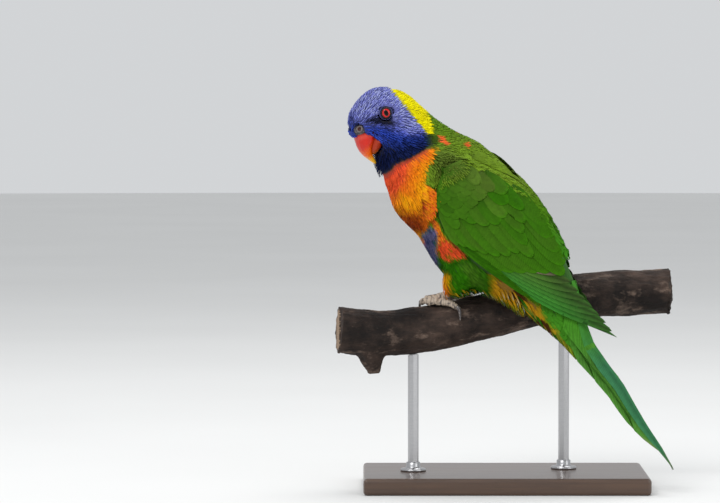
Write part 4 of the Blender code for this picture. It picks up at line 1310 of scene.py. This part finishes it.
def under_coat(coat):
    """The loose hem over the perch, the thighs, the long undertail coverts and the rump."""
    coat.grow("hem_feathers", WISP, 21, 1.5, lambda at: (at.share > 0.4) & at.within(HEM), 9.0, 0.7,
              "breast_feathers", clear=1.0, way=BODY_BACK * 0.5 - np.array((0, 0, 0.9)), tilt=0.3, low=0.75,
              paint=hem_tips, root=0.6, edge=0.85, shaft=1.2, fringe_from=0.6)
    for half in (0, 1):
        coat.grow(f"thigh_feathers_{half + 1}", WISP, 13 + half, 1.35,
                  lambda at: at.on_underside() & (at.x < 12) & ~at.within(UNDERTAIL), 8.5, 0.6,
                  "breast_feathers", clear=1.0, tilt=0.05, low=0.8, root=0.7, edge=0.88, shaft=1.15,
                  paint=lambda roots, base: (base, base * 1.3), fringe_from=0.6)
    coat.grow("undertail_coverts", COVERT, 17, 1.9,
              lambda at: ~at.front & (at.x > -14) & (at.x < 40) & at.below_tail & (at.share > 0.5), 13.0, 1.3,
              "tail_feathers", clear=0.8, tilt=0.04, low=0.75, paint=vent_tips, root=0.7, edge=0.45,
              shaft=1.3, fringe_from=0.6, fringe_share=0.85)
    coat.grow("rump_feathers", SOFT, 19, 2.0,
              lambda at: at.on_underside() & (at.x >= 10) & ~at.below_tail & (at.share < 0.72), 11.0, 2.0,
              "wing_feathers", clear=0.8, low=0.88, root=0.75, edge=0.92, shaft=1.08)


def feather_finish():
    """Barbs that slant from each shaft, with the colour that each feather carries."""
    finish = Finish("feather", 0.6, Specular_IOR_Level=0.04)
    tint = finish.node("ShaderNodeAttribute", {"attribute_name": "Tint"})
    vane = finish.node("ShaderNodeUVMap", {"uv_map": "Vane"})
    across, along, _ = finish.split(vane)
    barbs = (along * 150.0 - abs(across - 0.5) * 60.0).sine() * 0.5 + 0.5
    patches = finish.noise(finish.place(), 420.0, 3.0)
    colour = finish.varied(tint, barbs, 0.82, 1.08)
    finish.feed("Base Color", finish.varied(colour, patches, 0.75, 1.25))
    finish.feed("Roughness", 0.5 + patches * 0.25)
    finish.bump(barbs, 0.00012, 0.5)
    return finish


def skin_finish():
    """The down under the feathers, in the colour that the skin carries: the markings dimmed, partly as the
    down's duller tone and partly as painted shade of the coat over it.
    """
    finish = Finish("down", 0.9)
    tint = finish.node("ShaderNodeAttribute", {"attribute_name": "Tint"})
    fluff = finish.noise(finish.place(), 900.0, 4.0)
    finish.feed("Base Color", finish.varied(tint, fluff, 0.6, 1.2))
    finish.bump(fluff, 0.0003, 0.7)
    return finish


def tint_finish(name, roughness, grain, grain_share, bump, **constants):
    """A finish whose colour the mesh carries, under fine noise."""
    finish = Finish(name, roughness, **constants)
    tint = finish.node("ShaderNodeAttribute", {"attribute_name": "Tint"})
    speckle = finish.noise(finish.place(), grain, 4.0, 0.6)
    finish.feed("Base Color", finish.varied(tint, speckle, 1 - grain_share, 1 + grain_share))
    finish.feed("Roughness", roughness * 0.8 + speckle * roughness * 0.4)
    finish.bump(speckle, bump)
    return finish


# Eyes: radii in millimetres, and the colours from the pupil out to the lid
EYE_RADIUS = 4.3
PUPIL = 1.6
IRIS = 2.75
LID = 3.5
PUPIL_BLACK = (0.001, 0.001, 0.001)
PUPIL_RIM = (0.034, 0.028, 0.020)
IRIS_RED = (0.60, 0.022, 0.024)
IRIS_DEEP = (0.44, 0.008, 0.012)
EYE_DARK = (0.012, 0.006, 0.006)
LID_DARK = (0.009, 0.009, 0.012)
LID_LIGHT = (0.034, 0.032, 0.038)
# The lid's profile: how far out and how high over the eyeball each point of it lies
LID_PROFILE = [(IRIS - 0.20, -0.25), (IRIS - 0.05, 0.12), (IRIS + 0.18, 0.30), (IRIS + 0.42, 0.30),
               (IRIS + 0.60, 0.22), (IRIS + 0.70, 0.20), (LID, 0.05), (LID + 0.35, -0.35), (LID + 0.4, -1.2),
               (LID - 0.6, -1.0), (IRIS - 0.20, -0.25)]


def eye_axis(name):
    """The way an eye looks: out of the head, a little forward and up."""
    ahead, rise, across = head_frame()
    side = -1.0 if name == "eye_left" else 1.0
    return (across * side * 0.94 + ahead * 0.24 + rise * 0.12).normalized()


def ball_height(radius):
    """How high the eyeball stands at a distance from its axis, in millimetres."""
    return math.sqrt(max(EYE_RADIUS**2 - radius**2, 0.0))


def placed(bm, middle, axis):
    """A bmesh made about the origin and up the Z axis, set on its middle and turned to its axis."""
    turn = axis.to_track_quat("Z", "Y").to_matrix().to_4x4()
    bmesh.ops.transform(bm, matrix=Matrix.Translation(middle) @ turn, verts=bm.verts)
    return bm


def lathe(profile, sides=64):
    """A closed ring or bowl: a profile of radius and height in millimetres, spun about the Z axis."""
    bm = bmesh.new()
    verts = [bm.verts.new((radius * MM, 0.0, height * MM)) for radius, height in profile]
    for first, second in zip(verts, verts[1:]):
        bm.edges.new((first, second))
    bmesh.ops.spin(bm, geom=bm.verts[:] + bm.edges[:], axis=(0, 0, 1), cent=(0, 0, 0), steps=sides,
                   angle=2 * math.pi, use_merge=True)
    bmesh.ops.remove_doubles(bm, verts=bm.verts, dist=0.00001)
    bmesh.ops.recalc_face_normals(bm, faces=bm.faces)
    return bm


def make_eyeball(name, middle, axis, finish):
    """A ball with a tall slit of a pupil in a red iris, which a dark ring sets off."""
    ball = bmesh.new()
    bmesh.ops.create_uvsphere(ball, u_segments=72, v_segments=72, radius=EYE_RADIUS * MM)
    mesh = mesh_from(placed(ball, middle, axis), name)
    points = mesh_points(mesh) - np.array(middle)
    level = axis.cross(Vector(head_frame()[1])).normalized()
    wide = (points @ np.array(level))[:, None] / MM
    tall = (points @ np.array(axis.cross(level)))[:, None] / MM
    off = np.hypot(wide * 1.12, tall)
    slit = np.hypot(wide * 1.45, tall)
    spokes = wander(points, 0.0005, 5)
    colour = blend(PUPIL_BLACK, PUPIL_RIM, smoothstep(PUPIL - 0.1, PUPIL + 0.1, slit))
    colour = blend(colour, IRIS_RED, smoothstep(PUPIL + 0.2, PUPIL + 0.5, slit + spokes * 0.15))
    colour = blend(colour, IRIS_DEEP, smoothstep(PUPIL + 0.6, IRIS, off + spokes * 0.2))
    colour = blend(colour, EYE_DARK, smoothstep(IRIS - 0.05, IRIS + 0.12, off))
    colour[points @ np.array(axis) <= 0] = EYE_DARK
    colour = blend(colour, np.array(LILAC) * 0.35, smoothstep(LID + 0.1, LID + 0.3, off))
    colour_points(mesh, colour)
    piece = piece_of(f"{name}_ball", mesh, finish)
    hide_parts(name)


def make_eyelid(name, middle, axis, finish):
    """A beaded dark ring round the eye, a little narrower than it is tall."""
    lid = lathe([(radius, ball_height(radius * 0.92) + rise) for radius, rise in LID_PROFILE], 72)
    for vert in lid.verts:
        around = math.atan2(vert.co.y, vert.co.x)
        squeeze = 1 - 0.09 * math.cos(around) ** 2
        before = vert.co.xy.length / MM
        vert.co.x *= squeeze
        vert.co.y *= squeeze
        vert.co.z += (ball_height(before * squeeze) - ball_height(before)) * MM * 0.8
    displaced(lid, lambda vert: noise.noise(vert.co / 0.0005) * 0.05 * MM)
    mesh = mesh_from(placed(lid, middle, axis), f"{name}_lid")
    beads = wander(mesh_points(mesh), 0.0005, 8)
    colour_points(mesh, blend(LID_DARK, LID_LIGHT, smoothstep(0.0, 0.6, beads)))
    piece_of(f"{name}_lid", mesh, finish)


def make_eyes():
    ball_finish = tint_finish("eye_wet", 0.04, 2500.0, 0.08, 0.0, Specular_IOR_Level=0.2)
    lid_finish = tint_finish("eyelid", 0.6, 2200.0, 0.4, 0.0001, Specular_IOR_Level=0.2)
    for name in ("eye_left", "eye_right"):
        middle = Vector(node_middle(name))
        axis = eye_axis(name)
        make_eyeball(name, middle, axis, ball_finish)
        make_eyelid(name, middle, axis, lid_finish)


# Bill and cere: colours, and places in the head's own axes in millimetres
BILL_RED = (0.56, 0.018, 0.008)
BILL_ORANGE = (0.80, 0.115, 0.002)
BILL_YELLOW = (0.82, 0.42, 0.015)
# Painted highlight: the pale pink that lies across the upper bill near its base
BILL_PAINTED_HIGHLIGHT = (0.70, 0.13, 0.09)
# The lower bill's red is darker than the upper's: partly its own colour and partly painted shade under the
# upper bill
LOWER_RED_AND_SHADE = (0.36, 0.030, 0.006)
LOWER_TIP = (0.50, 0.15, 0.01)
# The upper bill's cutting edge: heights, and how far ahead it lies at each
EDGE_UP = (-17, -13, -9, -6, -3)
EDGE_AHEAD = (15.6, 15.9, 14.2, 11.6, 8.4)
CERE_DARK = (0.026, 0.023, 0.026)
CERE_LIGHT = (0.105, 0.088, 0.088)
NOSTRIL_RIM = (0.15, 0.125, 0.12)
NOSTRIL_RED = (0.075, 0.016, 0.010)
NOSTRIL_BLACK = (0.006, 0.002, 0.002)
NOSTRIL = (19.2, 3.9, 7.4)


def upper_bill_colour(up, ahead, streak):
    """Red at the base, orange then yellow at the tip, with a yellow cutting edge and a band of painted
    highlight near the base.
    """
    colour = blend(BILL_RED, BILL_ORANGE, smoothstep(-6.0, -12.5, up + streak * 1.2 + (ahead - 18) * 0.35))
    edge = smoothstep(1.6, 0.4, ahead - np.interp(up, EDGE_UP, EDGE_AHEAD))
    colour = blend(colour, BILL_YELLOW, edge * smoothstep(-3.0, -8.0, up) * 0.8)
    colour = blend(colour, BILL_YELLOW, smoothstep(-13.0, -18.0, up + streak))
    # A band of painted highlight across the upper bill near its base
    return blend(colour, BILL_PAINTED_HIGHLIGHT, smoothstep(2.5, 0.0, np.abs(up + 1.5)) * 0.3)


def make_bill():
    finish = tint_finish("bill_keratin", 0.36, 500.0, 0.08, 0.00002, Specular_IOR_Level=0.3)
    ahead_way, rise, _ = (np.array(axis) for axis in head_frame())
    for name, grown in (("bill_upper", 0.12), ("bill_lower", 0.3)):
        mesh = mesh_from(remeshed(joined([name], grown * MM), 0.36 * MM, 5), f"{name}_horn")
        points = mesh_points(mesh) - np.array(HEAD_MIDDLE)
        up = (points @ rise)[:, None] / MM
        ahead = (points @ ahead_way)[:, None] / MM
        streak = wander(points * np.array((1, 1, 0.3)), 0.0014, 6)
        if name == "bill_upper":
            colour = upper_bill_colour(up, ahead, streak)
        else:
            # Darker red, partly painted shade under the upper bill, turning orange towards the tip
            colour = blend(LOWER_RED_AND_SHADE, LOWER_TIP, smoothstep(-11.5, -14.5, up + streak) * 0.6)
        colour_points(mesh, colour)
        piece = piece_of(f"{name}_horn", mesh, finish)
        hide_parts(name)


def make_cere():
    """The bare grey skin over the bill, with a raised rim and a pit for each nostril."""
    finish = tint_finish("cere_skin", 0.5, 1500.0, 0.35, 0.00012)
    bm = remeshed(joined(["cere"], 0.1 * MM), 0.3 * MM, 4)
    holes = [np.array(head_point(NOSTRIL[0], NOSTRIL[1], side * NOSTRIL[2])) for side in (-1, 1)]

    def rise(vert):
        gap = min(np.linalg.norm(np.array(vert.co) - hole) for hole in holes) / MM
        rim = 0.35 * math.exp(-(((gap - 1.75) / 0.55) ** 2))
        pit = -1.3 * float(smoothstep(1.3, 0.6, gap))
        return (rim + pit) * MM

    displaced(bm, rise)
    mesh = mesh_from(bm, "cere_skin")
    points = mesh_points(mesh)
    gap = np.min([np.linalg.norm(points - hole, axis=1) for hole in holes], axis=0)[:, None] / MM
    colour = blend(CERE_DARK, CERE_LIGHT, smoothstep(-0.3, 0.4, wander(points, 0.0012, 12)))
    colour = blend(colour, NOSTRIL_RIM, smoothstep(0.6, 0.2, np.abs(gap - 1.8)) * 0.7)
    colour = blend(colour, NOSTRIL_RED, smoothstep(1.45, 1.1, gap))
    colour = blend(colour, NOSTRIL_BLACK, smoothstep(1.0, 0.6, gap))
    colour_points(mesh, colour)
    piece = piece_of("cere_skin", mesh, finish)
    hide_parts("cere")


# Feet: the toes' names, the step from one ring of scales to the next, and the colours
TOES = ("front_outer", "front_inner", "rear_inner", "rear_outer")
SCALE_STEP = 1.45 * MM
FOOT_SKIN = (0.46, 0.37, 0.285)
FOOT_DARK = (0.060, 0.048, 0.048)
CLAW_DARK = (0.035, 0.030, 0.032)
CLAW_LIGHT = (0.20, 0.17, 0.155)


def toe_link(name, pad):
    """A tapered rod from the foot's pad to a toe's near end, as a bmesh."""
    toe = mesh_points(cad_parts[name].data)
    start = toe[np.argsort(np.linalg.norm(toe - pad, axis=1))[:8]].mean(axis=0)
    way = Vector(start - pad)
    link = bmesh.new()
    bmesh.ops.create_cone(link, cap_ends=True, segments=14, radius1=0.0024, radius2=0.0018,
                          depth=way.length + 0.002)
    turn = way.to_track_quat("Z", "Y").to_matrix().to_4x4()
    place = Matrix.Translation(Vector(pad) + way / 2) @ turn
    bmesh.ops.transform(link, matrix=place, verts=link.verts)
    return link


def make_foot(hand, finish):
    """One foot's shank and toes as a single skin with rings of scales."""
    names = [f"tarsus_{hand}"] + [f"toe_{toe}_{hand}" for toe in TOES]
    pad = node_middle(names[0]) * (1, 1, 0) + np.array((-1.5, 0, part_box(names[0])[0][2] / MM + 3.0)) * MM
    bm = joined(names, 0.15 * MM)
    for name in names[1:]:
        absorb(bm, toe_link(name, pad))
    bm = remeshed(bm, 0.36 * MM, 4)

    def rise(vert):
        reach = (vert.co - Vector(pad)).length
        ring = abs(math.sin(reach / SCALE_STEP * math.pi))
        lump = noise.noise(vert.co / 0.0016)
        return MM * (0.20 * (ring**0.5 - 0.6) + 0.16 * lump)

    displaced(bm, rise)
    mesh = mesh_from(bm, f"foot_{hand}")
    points = mesh_points(mesh)
    reach = np.linalg.norm(points - pad, axis=1)[:, None]
    groove = 1 - np.abs(np.sin(reach / SCALE_STEP * np.pi))
    patches = wander(points, 0.0016, 9)
    dark = np.clip(groove**3 * 0.75 + smoothstep(0.05, 0.45, patches) * 0.75, 0, 1)
    colour_points(mesh, blend(FOOT_SKIN, FOOT_DARK, dark))
    piece = piece_of(f"foot_{hand}", mesh, finish)
    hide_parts(*names)


def make_claws(hand, finish):
    claws = [f"claw_{toe}_{hand}" for toe in TOES]
    mesh = mesh_from(remeshed(joined(claws), 0.28 * MM, 2), f"claws_{hand}")
    worn = wander(mesh_points(mesh), 0.0015, 11)
    colour_points(mesh, blend(CLAW_DARK, CLAW_LIGHT, smoothstep(-0.2, 0.4, worn)))
    piece = piece_of(f"claws_{hand}", mesh, finish)
    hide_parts(*claws)


def make_feet():
    foot_finish = tint_finish("foot_scales", 0.6, 1800.0, 0.3, 0.00008)
    claw_finish = tint_finish("claw_horn", 0.35, 1200.0, 0.2, 0.00003, Coat_Weight=0.3, Coat_Roughness=0.2)
    for hand in ("left", "right"):
        make_foot(hand, foot_finish)
        make_claws(hand, claw_finish)


# Perch: its half length, the middle and radius of its year rings, and its colours
PERCH_END = 0.1
PITH_Y = -0.0095
PITH_Z = 0.0955
HEARTWOOD = 0.0122
BARK_DARK = (0.010, 0.007, 0.006)
BARK_BROWN = (0.058, 0.039, 0.031)
BARK_FLAKE = (0.20, 0.145, 0.115)
RING_DARK = (0.16, 0.095, 0.055)
RING_LIGHT = (0.36, 0.25, 0.16)
RIM_DARK = (0.035, 0.026, 0.022)


def bark_finish():
    """Long dark furrows, with broad browner patches and pale flakes."""
    finish = Finish("bark", 0.85, Specular_IOR_Level=0.25)
    place = finish.place()
    rough = finish.noise(finish.stretch(place, (0.35, 1.0, 1.0)), 240.0, 7.0, 0.68)
    rough = ((rough - 0.5) * 1.9 + 0.5).clipped()
    broad = finish.noise(place, 40.0, 5.0, 0.6)
    flakes = finish.noise(finish.stretch(place, (0.6, 1.0, 1.0)), 90.0, 5.0, 0.7)
    colour = finish.mix(((broad - 0.40) * 4.0).clipped(), BARK_DARK, BARK_BROWN)
    colour = finish.mix(((flakes - 0.54) * 5.0).clipped(), colour, BARK_FLAKE)
    colour = finish.times(colour, finish.mix(rough, (0.25, 0.25, 0.25), (1.75, 1.7, 1.65)))
    finish.feed("Base Color", colour)
    finish.feed("Roughness", 0.7 + rough * 0.25)
    finish.bump(rough, 0.0010, 0.9)
    return finish


def sawn_finish():
    """Year rings on the branch's cut ends."""
    finish = Finish("sawn_wood", 0.75)
    _, y, z = finish.split(finish.place())
    side_y = y - PITH_Y
    side_z = z - PITH_Z
    reach = (side_y * side_y + side_z * side_z) ** 0.5
    wobble = finish.noise(finish.place(), 140.0, 3.0)
    rings = (reach * 5200.0 + wobble * 5.0).sine() * 0.5 + 0.5
    colour = finish.mix(rings, RING_DARK, RING_LIGHT)
    rim = ((reach - HEARTWOOD) * 2200.0).clipped()
    finish.feed("Base Color", finish.mix(rim, colour, RIM_DARK))
    finish.bump(rings, 0.0001, 0.5)
    return finish


def bark_depth(vert):
    """How far the bark stands out at a point: furrows along the branch and lumps, and nothing at its ends."""
    place = vert.co
    furrow = noise.fractal(Vector((place.x * 0.3, place.y, place.z)) / 0.005, 0.7, 2.0, 5)
    knot = noise.noise(place / 0.017 + Vector((3.1, 0, 0)))
    if abs(abs(place.x) - PERCH_END) < 0.0006:
        return 0.0
    return (-0.7 + 0.55 * furrow + 0.7 * max(knot, -0.4)) * MM


def make_perch():
    bm = remeshed(joined(["perch"]), 0.75 * MM, 1)
    displaced(bm, bark_depth)
    mesh = mesh_from(bm, "branch")
    mesh.materials.append(bark_finish().material)
    mesh.materials.append(sawn_finish().material)
    sawn = [abs(abs(face.center.x) - PERCH_END) < 0.0012 and abs(face.normal.x) > 0.7
            for face in mesh.polygons]
    mesh.polygons.foreach_set("material_index", np.array(sawn, np.int32))
    piece = piece_of("branch", mesh, None)
    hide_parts("perch")


# Stand: its colours, and the profile of the collar at each rod's foot, out from the rod and up from the base
WOOD_DARK = (0.030, 0.014, 0.008)
WOOD_LIGHT = (0.105, 0.052, 0.026)
STEEL_DARK = (0.36, 0.36, 0.37)
STEEL_LIGHT = (0.56, 0.56, 0.57)
COLLAR_PROFILE = [(0.02, 0.0), (4.5, 0.0), (4.5, 1.2), (4.0, 1.7), (1.4, 2.2), (1.0, 3.0), (1.0, 5.2),
                  (0.6, 5.6), (0.02, 5.6), (0.02, 0.0)]


def make_stand():
    """Better materials for the base and the rods, and a turned collar at each rod's foot."""
    wood = Finish("stand_wood", 0.35, Coat_Weight=0.4, Coat_Roughness=0.12)
    grain = wood.noise(wood.stretch(wood.place(), (1.5, 30.0, 30.0)), 14.0, 5.0, 0.6)
    wood.feed("Base Color", wood.mix(grain, WOOD_DARK, WOOD_LIGHT))
    wood.feed("Roughness", 0.3 + grain * 0.2)
    wood.bump(grain, 0.00008, 0.4)
    steel = Finish("stand_steel", 0.3, 1.0)
    brush = steel.noise(steel.stretch(steel.place(), (8.0, 8.0, 260.0)), 30.0, 2.0)
    steel.feed("Base Color", steel.mix(brush, STEEL_DARK, STEEL_LIGHT))
    steel.feed("Roughness", 0.24 + brush * 0.16)
    for name, finish in (("stand_base", wood), ("stand_rod_1", steel), ("stand_rod_2", steel)):
        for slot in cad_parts[name].material_slots:
            slot.material = finish.material
    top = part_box("stand_base")[1][2] / MM
    for number in (1, 2):
        low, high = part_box(f"stand_rod_{number}")
        radius = (high[0] - low[0]) / 2 / MM
        bm = lathe([(radius + out, top + up) for out, up in COLLAR_PROFILE], 48)
        bmesh.ops.translate(bm, vec=((low[0] + high[0]) / 2, (low[1] + high[1]) / 2, 0), verts=bm.verts)
        piece_of(f"stand_collar_{number}", mesh_from(bm, f"stand_collar_{number}"), steel)


# Studio: the floor and the sky, and each light's place, size and power
FLOOR_RADIUS = 6.0
FLOOR_DARK = (0.74, 0.74, 0.73)
FLOOR_LIGHT = (0.80, 0.80, 0.79)
SKY = (0.86, 0.88, 0.90, 1.0)
SKY_STRENGTH = 0.75
LIGHTS = (("key", (-0.7, -1.1, 1.35), 0.7, 14.0), ("fill", (1.3, -1.0, 0.6), 1.0, 5.0),
          ("top", (0.1, 0.5, 1.6), 0.9, 10.0))


def make_floor():
    bm = bmesh.new()
    bmesh.ops.create_circle(bm, cap_ends=True, segments=128, radius=FLOOR_RADIUS)
    floor = bpy.data.objects.new("floor", mesh_from(bm, "floor"))
    bpy.context.scene.collection.objects.link(floor)
    pale = Finish("floor_pale", 0.8)
    dust = pale.noise(pale.place(), 3.0, 2.0)
    pale.feed("Base Color", pale.mix(dust, FLOOR_DARK, FLOOR_LIGHT))
    floor.data.materials.append(pale.material)


def make_lights():
    """A pale sky and three broad lamps that all look at the bird."""
    world = bpy.data.worlds.new("studio")
    world.use_nodes = True
    world.node_tree.nodes["Background"].inputs[0].default_value = SKY
    world.node_tree.nodes["Background"].inputs[1].default_value = SKY_STRENGTH
    bpy.context.scene.world = world
    for name, place, size, power in LIGHTS:
        light = bpy.data.lights.new(name, "AREA")
        light.size = size
        light.energy = power
        lamp = bpy.data.objects.new(name, light)
        lamp.location = place
        lamp.rotation_euler = (CAMERA_AIM - Vector(place)).to_track_quat("-Z", "Y").to_euler()
        bpy.context.scene.collection.objects.link(lamp)


def make_camera():
    lens = bpy.data.cameras.new("camera")
    lens.lens = CAMERA_LENS
    lens.sensor_width = 36.0
    camera = bpy.data.objects.new("camera", lens)
    camera.location = camera_place()
    camera.rotation_euler = (math.radians(90) - CAMERA_LOOKS_DOWN, 0.0, 0.0)
    bpy.context.scene.collection.objects.link(camera)
    bpy.context.scene.camera = camera
    bpy.context.scene.view_settings.view_transform = "Standard"


def make_plumage():
    """The skin, the coat over it, and the long feathers of wings and tail."""
    finish = feather_finish()
    skin = make_skin(skin_finish())
    near_wing = Surface(mesh_from(node_mesh("wing_left"), "near_wing"))
    far_wing = Surface(mesh_from(node_mesh("wing_right"), "far_wing"))
    face = Surface(mesh_from(joined(["bill_upper", "bill_lower", "cere"]), "face"))
    outline = bmesh.new()
    outline.from_mesh(skin.data)
    pushed(outline, COAT_DEPTH)
    hull = Surface(mesh_from(outline, "outline"))
    coat = Coat(Surface(skin.data), hull, (near_wing, far_wing), face, finish)
    head_coat(coat)
    breast_coat(coat)
    back_coat(coat)
    under_coat(coat)
    fold_piece(hull, finish)
    chart = WingChart(near_wing)
    wing_pieces(chart, "left", False, finish)
    wing_pieces(chart, "right", True, finish)
    tail_piece(TailChart(Surface(mesh_from(joined(["tail", "trunk"]), "tail_top"))), finish)


def main():
    make_plumage()
    make_eyes()
    make_bill()
    make_cere()
    make_feet()
    make_perch()
    make_stand()
    make_floor()
    make_lights()
    make_camera()


main()
